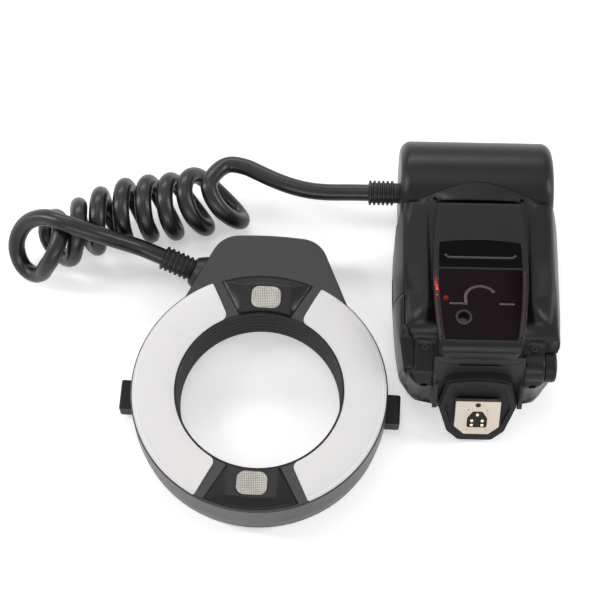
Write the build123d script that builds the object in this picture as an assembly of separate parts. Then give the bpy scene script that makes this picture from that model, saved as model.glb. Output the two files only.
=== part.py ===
from build123d import *
from math import acos, atan2, ceil, cos, degrees, hypot, pi, radians, sin, sqrt, tan
import os

# Macro ring flash: a ring head with two arc diffusers, a coiled cord and a hot shoe control unit.
# Millimetres, Z up. The origin is on the ring's bore axis, on the surface that both units lie on.
# The ring lies face up. The control unit lies on its back, with its foot towards -Y.

# Fits shared by all pieces
OVERRUN = 6.0        # how far a cutter runs past what it cuts
FIT = 0.1            # gap round a piece that is seated in another
MOVE_GAP = 0.3       # gap round a piece that moves
PIN_GAP = 0.05       # radial gap of a shaft in its bearing
SEAM_GAP = 0.05      # gap between two shells at their seam

# Ring head
RING_TURN = -2.2     # degrees, how the ring is turned against the control unit
RING_R = 53.2        # outer radius
RING_H = 22.8        # front face height
RING_BACK_R = 52.2   # radius of the tapered back shell at its back edge
SEAM_Z = 9.5         # height of the seam between back cover and front housing
SHELL = 2.0          # wall of the ring's shells
FACE_T = 2.3         # thickness of the front plate that the hoods stand on
BACK_T = 2.2         # thickness of the back plate
EDGE_R = 0.8         # rounding of the outer edges
BORE_R = 34.3        # clear radius at the front of the bore
BORE_STEP = 0.17     # how much each step of the baffle narrows the bore
BORE_STEPS = 6
BAFFLE_T = 0.8       # wall of the baffle
BAFFLE_RIM = 1.4     # width of the baffle's rim under the diffusers
BAFFLE_RIM_T = 0.5
REGISTER_R = 38.6    # mouth of the adapter recess
RECESS_R = 38.0      # adapter recess past its mouth
RECESS_T = 1.6       # wall round the recess
LEDGE_Z = 6.4        # height of the ledge that stops the adapter
LEDGE_T = 1.5

# Ring head housing: the trapezoid that holds the electronics
HEAD_FOOT_X = 34.6
HEAD_FOOT_Y = 40.0
HEAD_TOP_X = 21.2
HEAD_TOP_Y = 70.3
HEAD_RISE = 1.4
HEAD_CORNER_R = 12.0

# Diffusers, reflectors and flash tubes
ARC_END = 26.0       # degrees from the Y axis to a diffuser's end
DIFFUSER_OUT_R = 52.6
DIFFUSER_CROWN = 0.9
DIFFUSER_CORNER_IN = 3.0
DIFFUSER_CORNER_OUT = 0.8
TROUGH_END = 31.0    # degrees from the Y axis to a reflector's end
TROUGH_MID_R = 44.0
TROUGH_HALF_W = 6.6
TROUGH_CLEAR = 3.5   # room between the reflectors and the mid frame
TROUGH_T = 0.7
TUBE_R = 2.2
TUBE_DROP = 5.2      # flash tube axis below the reflector's rim
TUBE_STICK = 2.0     # degrees that the tube passes the reflector's end
END_WALL = 1.8       # degrees of arc that a reflector's end wall fills

# Lamp hoods
HOOD_H = 1.9
HOOD_OUT_X = 19.4
HOOD_OUT_R = 52.2
HOOD_IN_X = 11.0
HOOD_TOP_X = 10.3
HOOD_RIDGE_Y = 47.0
HOOD_IN_INSET = 0.5
LENS_W = 12.5
LENS_D = 10.0
LENS_CORNER = 3.4
LENS_Y = 41.4
LENS_PROUD = 0.3
LENS_SEAT = 0.7      # ledge under the lens
EMITTER_W = 5.0
EMITTER_H = 1.4
EMITTER_BOARD_W = 15.0
EMITTER_BOARD_D = 9.6
EMITTER_BOARD_T = 1.2

# Release buttons and latch sliders
RELEASE_TRAVEL = 2.2
SLIDER_IN_R = 43.9
SLIDER_W = 3.8
SLIDER_SHIFT = 1.15  # each slider's ring is centred this far towards its own button
SLIDER_T = 1.6
SLIDER_GAP = 0.2
CLAW_TIP_X = 36.6
CLAW_HALF_W = 5.0
CLAW_LEAD = 1.0
BUTTON_IN_X = 51.3
BUTTON_OUT_X = 58.9
BUTTON_W = 13.0
BUTTON_TOP = 9.2
BUTTON_EDGE = 1.0
BUTTON_RIBS = 10
RIB_CUT_R = 0.35
STEM_HALF_W = 4.0
FRAME_T = 1.6        # mid frame over the sliders
FRAME_OUT_R = 50.7

# Ring screws, board and cord boot
SCREW_HEAD_R = 1.4
SCREW_HEAD_T = 0.9
SCREW_SHANK_R = 0.7
SCREW_LENGTH = 9.0
SCREW_SINK = 0.3     # how deep a screw's head lies under the surface
BOSS_R = 1.8
RING_SCREWS = [(-15.7, -47.8), (15.7, -47.8), (-17.0, 61.5), (17.0, 61.5)]
BOARD_T = 1.6
BOARD_W = 28.0
BOARD_D = 11.0
BOARD_X = 3.0
BOARD_Y = 58.8
BOARD_Z = 4.2
BOOT_R = 8.3         # flared foot of the ring's cord boot
BOOT_FLARE_L = 7.5
BOOT_CORE_R = 4.4
BOOT_RIB_R = 5.2
BOOT_RIB_L = 12.0
BOOT_RIBS = 6
BOOT_NECK_R = 5.4
BOOT_NECK_L = 6.0
BOOT_FLANGE_R = 6.6
BOOT_FLANGE_T = 1.2

# Cord: hand chosen route points
CORD_R = 3.4
COIL_R = 11.6        # radius of the coil's centreline
COIL_LIFT = 0.6
RING_BOOT_END = (-43.7, 64.0, 15.0)
UNIT_BOOT_END = (44.4, 93.8, 22.0)
RING_RUN = [(-50.6, 66.1, 17.3), (-57.4, 66.7, 21.2), (-64.2, 66.6, 25.8), (-71.0, 66.8, 30.0)]
COIL_LEFT_END = (-77.6, 67.5, 33.0)
UNIT_RUN = [(35.9, 93.8, 22.0), (27.6, 93.2, 22.6), (19.3, 93.2, 23.6), (11.3, 94.6, 24.6), (4.0, 97.1, 25.2)]
COIL_RIGHT_END = (-2.6, 100.5, 25.0)
# Middle of each curl and how far its top leans to -X, from the control unit's end to the ring's end
COIL_AXIS = [(-15.4, 95.0, 10.0), (-28.6, 91.3, 7.0), (-40.2, 88.6, 3.7), (-50.4, 87.3, 2.6),
             (-60.9, 85.4, 1.5), (-72.1, 80.9, 0.0), (-82.3, 75.2, -2.4), (-94.0, 69.4, -7.0)]
COIL_TAIL = [(-100.2, 58.6, 6.6), (-108.0, 66.0, 11.6), (-103.6, 74.6, 22.6), (-93.6, 73.4, 31.6)]
COIL_HEAD = [(-16.4, 104.9, 24.2)]

# Control unit, measured from the axis of its head tube
UNIT_X = 90.2
UNIT_Y = 94.6
TUBE_HEAD_R = 22.0
TUBE_HEAD_HALF = 34.0
TUBE_HEAD_EDGE = 5.0
UNIT_WALL = 1.6
UNIT_BACK_WALL = 2.4
UNIT_SPLIT_Z = 20.0
BODY_TOP_Y = -17.5
BODY_HALF_TOP = 33.8
BODY_HALF_MID = 35.1
BODY_MID_Y = -38.0
BODY_HALF_LOW = 33.4
BODY_LOW_Y = -72.0
BODY_CORNER_X = 31.2
BODY_CORNER_Y = -85.4
BODY_CHIN_X = 25.4
BODY_CHIN_Y = -91.0
BODY_END_Y = -93.6
BODY_FRONT_Z = 41.0
BODY_PAD_LOW_Z = 40.6
BODY_STEP_Y = -74.8
BODY_STEP_Z = 35.6
BODY_SIDE_Z = 22.0
BODY_SHOULDER_X = 31.0
BODY_SHOULDER_Z = 39.4
BODY_BACK_X = 28.0
BODY_BACK_SIDE_Z = 7.0
NECK_HALF = 27.0
NECK_SIDE_Z = 38.6
NECK_SHOULDER_X = 22.7
NECK_SHOULDER_Z = 41.9
NECK_TOP_Z = 43.1
NECK_LOW_Z = 4.0
CAP_R = 16.0
CAP_HALF = 24.0
CRADLE_X = 15.0
CRADLE_T = 1.6
UNIT_BOOT_R = 5.4
UNIT_BOOT_L = 11.4

# Raised grip pads beside the spine
PAD_RISE = 0.6
PAD_OUT_X = 30.4
PAD_IN_X = 21.4
PAD_IN_LOW_X = 21.0
PAD_LOW_OUT_X = 28.6
PAD_LOW_Y = -70.6
PAD_CORNER = 3.0

# Spine with its windows
SPINE_HALF_TOP = 17.2
SPINE_HALF_MID = 19.6
SPINE_HALF_LOW = 16.4
SPINE_CORNER = 3.2
SPINE_MID_Y = -48.5
SPINE_LOW_Y = -84.5
SPINE_TOP_Z = 45.2
SPINE_RIDGE_Z = 46.2
SPINE_CHIN_Z = 44.2
SPINE_WALL = 2.4
SPINE_BEVEL = 1.0
WINDOW_T = 1.4
WINDOW_GAP_Y = 0.6
BLACK_TOP_Y = -35.0
BLACK_RISE = 1.8
RED_LOW_Y = -80.0
ASSIST_BOARD_T = 1.2
SENSOR_X = -7.2
SENSOR_Y = -70.0
SENSOR_R = 3.4
SENSOR_BORE_R = 2.5
SENSOR_PROUD = 0.2
SENSOR_DEPTH = 3.4
LED_X = -14.2
LED_Y = -59.8
LED_R = 1.2
ARCH_R = 7.0
ARCH_T = 1.4
ARCH_Y = -62.0
ARCH_OPEN = 10.0     # degrees that the arch stops short of the bars
BAR_X = 10.6
BAR_W = 6.6
BAR_D = 1.3
LAMP_TOP_GAP = 0.3

# Foot with shoe plate
FOOT_ANGLE = 26.0    # degrees between the shoe plate's plane and the unit's long axis
FOOT_Y = -103.0
FOOT_Z = 17.0
PLATE_W = 18.6
PLATE_D = 18.0
PLATE_T = 2.0
PLATE_CHAMFER = 4.2
RAIL_GAP = 1.6       # clear height between shoe plate and foot block
PLATE_NECK_W = 12.4
FLANGE_T = 4.2
FLANGE_HALF = 16.2
FLANGE_SHOULDER_V = 3.5
FLANGE_TOP_V = 18.6
FLANGE_TOP_HALF = 13.0
FLANGE_LOW_V = -15.4
FLANGE_LOW_HALF = 7.0
FLANGE_CORNER = 5.0
RIM_H = 1.2
RIM_W = 2.6
INSULATOR_R = 4.6
CONTACT_R = 0.75
CONTACT_H = 0.4
LOCK_PIN_R = 1.0
LOCK_PIN_V = 7.2
LOCK_PIN_TRAVEL = 1.5
LOCK_PIN_L = 5.0
HOUSING_HALF = 18.6
HOUSING_T = 2.0
HOUSING_LOW_V = -4.6
CHEEK_T = 2.0         # the housing's cheeks beside the foot block
CHEEK_H = 2.8
LOCK_Y = -83.2
LOCK_Z = 27.0
LOCK_R = 6.7
LOCK_BULGE_X0 = 18.6  # where the lock's barrel leaves the body's surface
LOCK_CLEAR = 0.6      # room between the cells and the lock's barrel
LOCK_BOSS_X1 = 26.8
LOCK_KNOB_X1 = 31.8
LOCK_SHAFT_R = 2.6

# Battery side
CELL_R = 7.1
CELL_L = 48.0
CELL_X0 = -27.4
CELL_NUB_R = 2.7
CELL_NUB_L = 1.4
CELL_GAP = 0.3
CELL_Y = -64.0
CELL_Z = 9.5
DOOR_TOP_Y = -56.5
DOOR_END_Y = -86.8
DOOR_SIDE_X = -31.2   # the door's edge beside the pad
DOOR_FRONT_X = -26.8  # the door's edge on the lower front
DOOR_BEND_Y = -70.5
DOOR_STEP_Y = -76.5
DOOR_Z0 = 3.6
DOOR_T = 1.6
THUMB_Y = -48.5
THUMB_Z = 20.0
THUMB_L = 14.0
THUMB_W = 7.0
THUMB_DEPTH = 0.9
TERMINAL_Y = -67.8
TERMINAL_Z = 21.5
TERMINAL_L = 11.0
TERMINAL_W = 7.6
TERMINAL_T = 2.6
TERMINAL_PROUD = 1.2

# Back controls
PANEL_HALF = 29.5
PANEL_TOP_Y = -19.4
PANEL_LOW_Y = -57.4
PANEL_SINK = 1.0
CONTROL_SINK = 0.5   # control tops below the back face
LCD_W = 42.0
LCD_D = 15.0
LCD_Y = -28.6
LCD_T = 1.2
LCD_PANEL_T = 2.2
KEY_W = 7.4
KEY_D = 4.2
KEY_XS = [-22.6, -12.9, 12.9, 22.6]
KEY_NAMES = ["mode_button", "lamp_button", "ratio_button", "sync_button"]
KEY_Y = -41.4
KEY_TRAVEL = 0.8
KEY_FLANGE = 0.9
KEY_FLANGE_T = 0.8
DIAL_Y = -48.6
DIAL_R = 7.4
DIAL_T = 0.8
DIAL_HUB_R = 5.0
DIAL_HUB_T = 3.4
DIAL_BORE_R = 3.2
DIAL_RIBS = 24
SET_R = 2.9
SET_T = 4.4
SWITCH_X = -21.0
SWITCH_Y = -50.6
SWITCH_W = 5.4
SWITCH_D = 3.4
SWITCH_TRAVEL = 4.0
TEST_X = 21.0
TEST_Y = -50.6
TEST_R = 2.5
MAIN_BOARD_Z = 6.4
MAIN_BOARD_HALF = 27.0
MAIN_BOARD_TOP_Y = -24.5
MAIN_BOARD_LOW_Y = -57.0
CHIP_X = -14.0
CHIP_Y = -34.0
CHIP_W = 16.0
CHIP_D = 12.8
POST_R = 1.6
UNIT_SCREW_HEAD_R = 1.5
UNIT_SCREW_HEAD_T = 1.0
UNIT_SCREW_L = 2.4
UNIT_SCREW_X = 22.4
UNIT_SCREW_UP_Y = -79.0
UNIT_SCREW_LOW_Y = -90.4
UNIT_SCREW_LOW_Z = 22.4
SCREW_WELL = 1.6     # depth of the wells that the body's screws lie in
BACK_SCREWS = [(-26.0, -22.5), (26.0, -22.5), (-24.6, -85.0), (24.6, -85.0)]

# Worked out heights of the ring
SEAT_Z = RING_H - FACE_T
SLIDER_OUT_R = SLIDER_IN_R + SLIDER_W
REGISTER_L = BACK_T
LOW_SLIDER_Z = BACK_T + SLIDER_GAP
HIGH_SLIDER_Z = LOW_SLIDER_Z + SLIDER_T + SLIDER_GAP
FRAME_Z = HIGH_SLIDER_Z + SLIDER_T + SLIDER_GAP
TROUGH_DEPTH = SEAT_Z - FRAME_Z - FRAME_T - TROUGH_CLEAR
BAFFLE_OUT_R = BORE_R + BAFFLE_T
DIFFUSER_IN_R = BAFFLE_OUT_R + FIT
BORE_BACK_R = BORE_R - BORE_STEPS * BORE_STEP

# Worked out levels of the control unit
LOCK_BOSS_X0 = CELL_X0 + CELL_L + CELL_NUB_L + LOCK_CLEAR
BLOCK_BACK = -(PLATE_T + RAIL_GAP + FLANGE_T)
UNIT_TOP_SCREW_Z = BODY_STEP_Z - SCREW_WELL
ASSIST_Z = BODY_PAD_LOW_Z - UNIT_WALL - PIN_GAP

RING_PLACE = Rot(0, 0, RING_TURN)
UNIT_PLACE = Pos(UNIT_X, UNIT_Y, 0)


# General shapes

def disc(radius, low, high, x=0, y=0):
    """Upright cylinder between two heights."""
    return Pos(x, y, low) * extrude(Circle(radius), high - low)


def tube_ring(inner, outer, low, high):
    return disc(outer, low, high) - disc(inner, low - OVERRUN, high + OVERRUN)


def block(x0, x1, y0, y1, z0, z1):
    """Box between three pairs of faces."""
    return Pos((x0 + x1) / 2, (y0 + y1) / 2, (z0 + z1) / 2) * Box(abs(x1 - x0), abs(y1 - y0), abs(z1 - z0))


def rod_x(radius, x0, x1, y, z):
    """Cylinder along X."""
    return Pos(x0, y, z) * Rot(0, 90, 0) * extrude(Circle(radius), x1 - x0)


def rod_y(radius, y0, y1, x, z):
    """Cylinder along Y, from y0 down to y1."""
    return Pos(x, y0, z) * Rot(90, 0, 0) * extrude(Circle(radius), y0 - y1)


def slab(face, low, high):
    return Pos(0, 0, low) * extrude(face, high - low)


def rounded_plate(width, depth, corner, low, high, x=0, y=0):
    face = fillet(Rectangle(width, depth).vertices(), corner)
    return Pos(x, y, low) * extrude(face, high - low)


def sector_face(inner, outer, start, sweep):
    """Flat part of a ring, angles in degrees from +X."""
    a, b = radians(start), radians(start + sweep)
    rim = CenterArc((0, 0), outer, start, sweep)
    bore = CenterArc((0, 0), inner, start, sweep)
    one = Line((inner * cos(a), inner * sin(a)), (outer * cos(a), outer * sin(a)))
    two = Line((inner * cos(b), inner * sin(b)), (outer * cos(b), outer * sin(b)))
    return make_face([rim, bore, one, two])


def rounded_sector(inner, outer, start, sweep, corner_in, corner_out):
    face = sector_face(inner, outer, start, sweep)
    middle = (inner + outer) / 2
    near = [v for v in face.vertices() if hypot(v.X, v.Y) < middle]
    face = fillet(near, corner_in)
    far = [v for v in face.vertices() if hypot(v.X, v.Y) > middle]
    return fillet(far, corner_out)


def revolve_profile(points, arc=360.0, start=0.0):
    """Solid of revolution about Z from (radius, height) points."""
    face = make_face(Polyline(*[(r, 0, z) for r, z in points], close=True))
    return Rot(0, 0, start) * revolve(face, Axis.Z, arc)


def round_at(solid, level, radius):
    """Round a solid's edges that lie at one height."""
    return fillet([e for e in solid.edges() if abs(e.center().Z - level) < PIN_GAP], radius)


def group(pieces):
    """Separate solids of one node."""
    return Compound([solid for piece in pieces for solid in piece.solids()])


def write(name, shape):
    export_step(shape, f"parts/{name}.step")


def write_ring(name, shape):
    write(name, RING_PLACE * shape)


def write_unit(name, shape):
    write(name, UNIT_PLACE * shape)


# Ring head

def head_face(inset=0.0):
    """Trapezoid outline of the ring's electronics housing."""
    left = Line((-HEAD_FOOT_X, HEAD_FOOT_Y), (-HEAD_TOP_X, HEAD_TOP_Y))
    top = ThreePointArc((-HEAD_TOP_X, HEAD_TOP_Y), (0, HEAD_TOP_Y + HEAD_RISE), (HEAD_TOP_X, HEAD_TOP_Y))
    right = Line((HEAD_TOP_X, HEAD_TOP_Y), (HEAD_FOOT_X, HEAD_FOOT_Y))
    base = Line((HEAD_FOOT_X, HEAD_FOOT_Y), (-HEAD_FOOT_X, HEAD_FOOT_Y))
    face = make_face([left, top, right, base])
    corners = [v for v in face.vertices() if v.Y > HEAD_FOOT_Y + HEAD_RISE]
    face = fillet(corners, HEAD_CORNER_R)
    if inset:
        face = offset(face, -inset)
    return face


def head_wall_dir():
    """Unit vector out of the head's left slanted side."""
    run = HEAD_FOOT_X - HEAD_TOP_X
    rise = HEAD_TOP_Y - HEAD_FOOT_Y
    return Vector(-rise, run, 0).normalized()


def boot_frame():
    """Plane at the boot's cord end, with its normal towards the cord, in the ring's own frame."""
    back = Rot(0, 0, -RING_TURN)
    end = (back * Pos(*RING_BOOT_END)).position
    tip = (back * Pos(*RING_RUN[0])).position
    return Plane(origin=end, z_dir=tip - end)


def boot_depth():
    """Distance along the boot from its cord end to the head's wall."""
    frame = boot_frame()
    out = head_wall_dir()
    foot = Vector(-HEAD_FOOT_X, HEAD_FOOT_Y, 0)
    return (frame.origin - foot).dot(out) / frame.z_dir.dot(out)


def boot_cutter():
    """Hole through the wall for the boot's neck and its flange inside."""
    depth = boot_depth()
    frame = boot_frame()
    inner = depth + BOOT_NECK_L
    return frame * Pos(0, 0, -inner) * extrude(Circle(BOOT_NECK_R + FIT), BOOT_NECK_L + OVERRUN)


def ring_bosses(low, high):
    return group([disc(BOSS_R, low, high, x, y) for x, y in RING_SCREWS])


def screw_bores(radius, low, high):
    return [disc(radius, low, high, x, y) for x, y in RING_SCREWS]


def cut_all(shape, cutters):
    for cutter in cutters:
        shape = shape - cutter
    return shape


def diffuser_faces(gap=0.0):
    """Left and right openings of the front face."""
    sweep = 180 - 2 * ARC_END
    faces = []
    for start in (90 + ARC_END, ARC_END - 90):
        faces.append(rounded_sector(DIFFUSER_IN_R - gap, DIFFUSER_OUT_R + gap, start, sweep,
                                    DIFFUSER_CORNER_IN, DIFFUSER_CORNER_OUT))
    return faces


def lens_face(grow=0.0):
    face = Rectangle(LENS_W + 2 * grow, LENS_D + 2 * grow)
    return fillet(face.vertices(), LENS_CORNER + grow)


def lens_places():
    return [Pos(0, LENS_Y, 0), Rot(0, 0, 180) * Pos(0, LENS_Y, 0)]


def ring_front_housing():
    outer = round_at(disc(RING_R, SEAM_Z + SEAM_GAP, RING_H), RING_H, EDGE_R)
    outer = outer + round_at(slab(head_face(), SEAM_Z + SEAM_GAP, RING_H), RING_H, EDGE_R)
    hollow = disc(RING_R - SHELL, SEAM_Z - OVERRUN, SEAT_Z)
    hollow = hollow + slab(head_face(SHELL), SEAM_Z - OVERRUN, SEAT_Z)
    body = outer - hollow
    body = body + ring_bosses(SEAM_Z + SEAM_GAP, SEAT_Z + FACE_T / 2)
    body = body - disc(DIFFUSER_IN_R, SEAM_Z - OVERRUN, RING_H + OVERRUN)
    body = cut_all(body, [slab(f, SEAT_Z - OVERRUN, RING_H + OVERRUN) for f in diffuser_faces(FIT)])
    body = cut_all(body, [p * slab(lens_face(-LENS_SEAT), SEAT_Z - OVERRUN, RING_H + OVERRUN) for p in lens_places()])
    body = cut_all(body, screw_bores(SCREW_SHANK_R + PIN_GAP, SEAM_Z - OVERRUN, SCREW_SINK + SCREW_LENGTH + 2 * FACE_T))
    body = body - boot_cutter()
    return body


def button_slot(side):
    half = BUTTON_W / 2 + MOVE_GAP
    return block(side * (BUTTON_IN_X - OVERRUN), side * (BUTTON_OUT_X + OVERRUN), -half, half,
                 LOW_SLIDER_Z - MOVE_GAP, SEAM_Z + OVERRUN)


def ring_rear_cover():
    taper = revolve_profile([(0, 0), (RING_BACK_R, 0), (RING_R, SEAM_Z), (0, SEAM_Z)])
    outer = round_at(taper, 0, EDGE_R) + round_at(slab(head_face(), 0, SEAM_Z), 0, EDGE_R)
    hollow = disc(RING_R - SHELL, BACK_T, SEAM_Z + OVERRUN) + slab(head_face(SHELL), BACK_T, SEAM_Z + OVERRUN)
    body = outer - hollow
    body = body + disc(RECESS_R + RECESS_T, 0, LEDGE_Z)
    body = body + ring_bosses(0, FRAME_Z - SLIDER_GAP / 2)
    head_bosses = [disc(BOSS_R, 0, SEAM_Z, x, y) for x, y in RING_SCREWS if y > 0]
    body = body + head_bosses[0] + head_bosses[1]
    body = body + ring_board_posts()
    body = body - disc(RECESS_R, -OVERRUN, SEAM_Z + OVERRUN) - disc(REGISTER_R, -OVERRUN, REGISTER_L)
    half = CLAW_HALF_W + MOVE_GAP
    claw_way = RECESS_R + RECESS_T + OVERRUN
    body = body - block(-claw_way, claw_way, -half, half, LOW_SLIDER_Z - SLIDER_GAP / 2, LEDGE_Z + OVERRUN)
    body = body - button_slot(1) - button_slot(-1)
    body = cut_all(body, screw_bores(SCREW_SHANK_R + PIN_GAP, -OVERRUN, SEAM_Z + OVERRUN))
    body = cut_all(body, screw_bores(SCREW_HEAD_R + FIT, -OVERRUN, SCREW_SINK + SCREW_HEAD_T))
    return body - boot_cutter()


def ring_screws():
    screws = []
    for x, y in RING_SCREWS:
        screw = disc(SCREW_HEAD_R, SCREW_SINK, SCREW_SINK + SCREW_HEAD_T, x, y)
        screw = screw + disc(SCREW_SHANK_R, SCREW_SINK, SCREW_SINK + SCREW_LENGTH, x, y)
        slot = Pos(x, y, SCREW_SINK) * Box(SCREW_HEAD_R, SCREW_SHANK_R / 2, SCREW_HEAD_T)
        slot_two = Pos(x, y, SCREW_SINK) * Box(SCREW_SHANK_R / 2, SCREW_HEAD_R, SCREW_HEAD_T)
        screws.append(screw - slot - slot_two)
    return group(screws)


def bore_baffle():
    """Stepped light baffle that lines the bore, with the ledge that stops the adapter."""
    top = RING_H
    step_h = (top - LEDGE_Z) / BORE_STEPS
    points = [(BORE_BACK_R, LEDGE_Z), (RECESS_R + RECESS_T, LEDGE_Z), (RECESS_R + RECESS_T, LEDGE_Z + LEDGE_T)]
    points += [(BAFFLE_OUT_R, LEDGE_Z + LEDGE_T), (BAFFLE_OUT_R, SEAT_Z - BAFFLE_RIM_T - FIT)]
    points += [(BAFFLE_OUT_R + BAFFLE_RIM, SEAT_Z - BAFFLE_RIM_T - FIT), (BAFFLE_OUT_R + BAFFLE_RIM, SEAT_Z - FIT)]
    points += [(BAFFLE_OUT_R, SEAT_Z - FIT), (BAFFLE_OUT_R, top), (BORE_R, top)]
    for i in range(BORE_STEPS):
        low = top - (i + 1) * step_h
        points.append((BORE_R - i * BORE_STEP, low + (step_h / 8 if i < BORE_STEPS - 1 else 0)))
        if i < BORE_STEPS - 1:
            points.append((BORE_R - (i + 1) * BORE_STEP, low))
    points.append((BORE_BACK_R, LEDGE_Z))
    clean = [p for i, p in enumerate(points) if i == 0 or p != points[i - 1]]
    if clean[-1] == clean[0]:
        clean.pop()
    return revolve_profile(clean)


def diffuser(index):
    """Milky front arc with a gently domed face."""
    low, high = SEAT_Z, RING_H
    start = (DIFFUSER_IN_R, 0, high)
    middle = ((DIFFUSER_IN_R + DIFFUSER_OUT_R) / 2, 0, high + DIFFUSER_CROWN)
    end = (DIFFUSER_OUT_R, 0, high)
    crown = ThreePointArc(start, middle, end)
    sides = Polyline(end, (DIFFUSER_OUT_R, 0, low), (DIFFUSER_IN_R, 0, low), start)
    ring = revolve(make_face([crown, sides]), Axis.Z, 360)
    return ring & slab(diffuser_faces()[index], low, high + OVERRUN)


def half_ellipse(half_w, depth, start, sweep):
    """Trough solid below the seat height."""
    arc = EllipticalCenterArc((0, 0), half_w, depth, start_angle=180, arc_size=180)
    closing = Line((half_w, 0), (-half_w, 0))
    face = make_face([arc, closing])
    upright = Plane(origin=(TROUGH_MID_R, 0, SEAT_Z), x_dir=(1, 0, 0), z_dir=(0, -1, 0))
    return Rot(0, 0, start) * revolve(upright * face, Axis.Z, sweep)


def trough_start(index):
    return (90 + TROUGH_END, TROUGH_END - 90)[index]


def reflector(index):
    sweep = 180 - 2 * TROUGH_END
    start = trough_start(index)
    outer = half_ellipse(TROUGH_HALF_W, TROUGH_DEPTH, start, sweep)
    hollow = half_ellipse(TROUGH_HALF_W - TROUGH_T, TROUGH_DEPTH - TROUGH_T, start + END_WALL, sweep - 2 * END_WALL)
    return outer - hollow - flash_tube_form(index, TUBE_R + FIT)


def flash_tube_form(index, radius):
    sweep = 180 - 2 * TROUGH_END + 2 * TUBE_STICK
    start = trough_start(index) - TUBE_STICK
    upright = Plane(origin=(TROUGH_MID_R, 0, SEAT_Z - TUBE_DROP), x_dir=(1, 0, 0), z_dir=(0, -1, 0))
    return Rot(0, 0, start) * revolve(upright * Circle(radius), Axis.Z, sweep)


def flash_tubes():
    return group([flash_tube_form(0, TUBE_R), flash_tube_form(1, TUBE_R)])


def lamp_hood():
    """Truncated pyramid between the diffusers' ends, with a hole for the lens."""
    in_r = DIFFUSER_IN_R
    base_in_y = sqrt(in_r ** 2 - HOOD_IN_X ** 2)
    base_out_y = sqrt(HOOD_OUT_R ** 2 - HOOD_OUT_X ** 2)
    top_r = in_r + HOOD_IN_INSET
    top_in_y = sqrt(top_r ** 2 - HOOD_TOP_X ** 2)
    base = make_face([ThreePointArc((-HOOD_IN_X, base_in_y), (0, in_r), (HOOD_IN_X, base_in_y)),
                      Line((HOOD_IN_X, base_in_y), (HOOD_OUT_X, base_out_y)),
                      ThreePointArc((HOOD_OUT_X, base_out_y), (0, HOOD_OUT_R), (-HOOD_OUT_X, base_out_y)),
                      Line((-HOOD_OUT_X, base_out_y), (-HOOD_IN_X, base_in_y))])
    ridge_rise = HOOD_IN_INSET
    top = make_face([ThreePointArc((-HOOD_TOP_X, top_in_y), (0, top_r), (HOOD_TOP_X, top_in_y)),
                     Line((HOOD_TOP_X, top_in_y), (HOOD_TOP_X, HOOD_RIDGE_Y)),
                     ThreePointArc((HOOD_TOP_X, HOOD_RIDGE_Y), (0, HOOD_RIDGE_Y + ridge_rise), (-HOOD_TOP_X, HOOD_RIDGE_Y)),
                     Line((-HOOD_TOP_X, HOOD_RIDGE_Y), (-HOOD_TOP_X, top_in_y))])
    hood = loft([Pos(0, 0, RING_H) * base, Pos(0, 0, RING_H + HOOD_H) * top], ruled=True)
    return hood - Pos(0, LENS_Y, 0) * slab(lens_face(FIT), RING_H - OVERRUN, RING_H + HOOD_H + OVERRUN)


def lamp_lenses():
    lens = slab(lens_face(), RING_H, RING_H + HOOD_H + LENS_PROUD)
    top = [e for e in lens.edges() if abs(e.center().Z - (RING_H + HOOD_H + LENS_PROUD)) < LENS_PROUD / 2]
    lens = fillet(top, LENS_PROUD)
    return group([p * lens for p in lens_places()])


def lamp_emitters():
    board = rounded_plate(EMITTER_BOARD_W, EMITTER_BOARD_D, EMITTER_H, SEAT_Z - EMITTER_BOARD_T, SEAT_Z)
    lamp = slab(Rectangle(EMITTER_W, EMITTER_W), SEAT_Z, SEAT_Z + EMITTER_H)
    return group([p * (board + lamp) for p in lens_places()])


# Latch

def claw(side, level, low):
    """Sloped claw that reaches through the recess wall, on the side given."""
    top = level + SLIDER_T
    root_x = SLIDER_IN_R + BORE_STEP - SLIDER_SHIFT
    points = [(CLAW_TIP_X, top), (root_x, top), (root_x, level)]
    if low < level:
        neck_x = RECESS_R + RECESS_T + MOVE_GAP
        points += [(neck_x, level), (neck_x, low)]
    points += [(CLAW_TIP_X + CLAW_LEAD, low), (CLAW_TIP_X, low + CLAW_LEAD)]
    face = make_face(Polyline(*[(side * x, 0, z) for x, z in points], close=True))
    return extrude(face, CLAW_HALF_W, dir=(0, 1, 0), both=True)


def latch_slider(side):
    """Ring frame of one release: its button's side is given, its claw is opposite."""
    level = LOW_SLIDER_Z if side < 0 else HIGH_SLIDER_Z
    ring = Pos(side * SLIDER_SHIFT, 0, 0) * tube_ring(SLIDER_IN_R, SLIDER_OUT_R, level, level + SLIDER_T)
    stem_x = SLIDER_OUT_R + SLIDER_SHIFT - SLIDER_T
    stem = block(side * stem_x, side * BUTTON_IN_X, -STEM_HALF_W, STEM_HALF_W, level, level + SLIDER_T)
    return ring + stem + claw(-side, level, LOW_SLIDER_Z)


def release_button(side):
    """Ribbed push button that slides through the ring's wall."""
    z0, z1 = LOW_SLIDER_Z, BUTTON_TOP
    body = block(side * BUTTON_IN_X, side * BUTTON_OUT_X, -BUTTON_W / 2, BUTTON_W / 2, z0, z1)
    outer = [e for e in body.edges() if abs(e.center().X - side * BUTTON_OUT_X) < BUTTON_EDGE]
    body = fillet(outer, BUTTON_EDGE)
    pitch = (BUTTON_W - 2 * BUTTON_EDGE) / BUTTON_RIBS
    for i in range(BUTTON_RIBS):
        y = (i - (BUTTON_RIBS - 1) / 2) * pitch
        body = body - disc(RIB_CUT_R, z0 - OVERRUN, z1 + OVERRUN, side * BUTTON_OUT_X, y)
    return body


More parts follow.
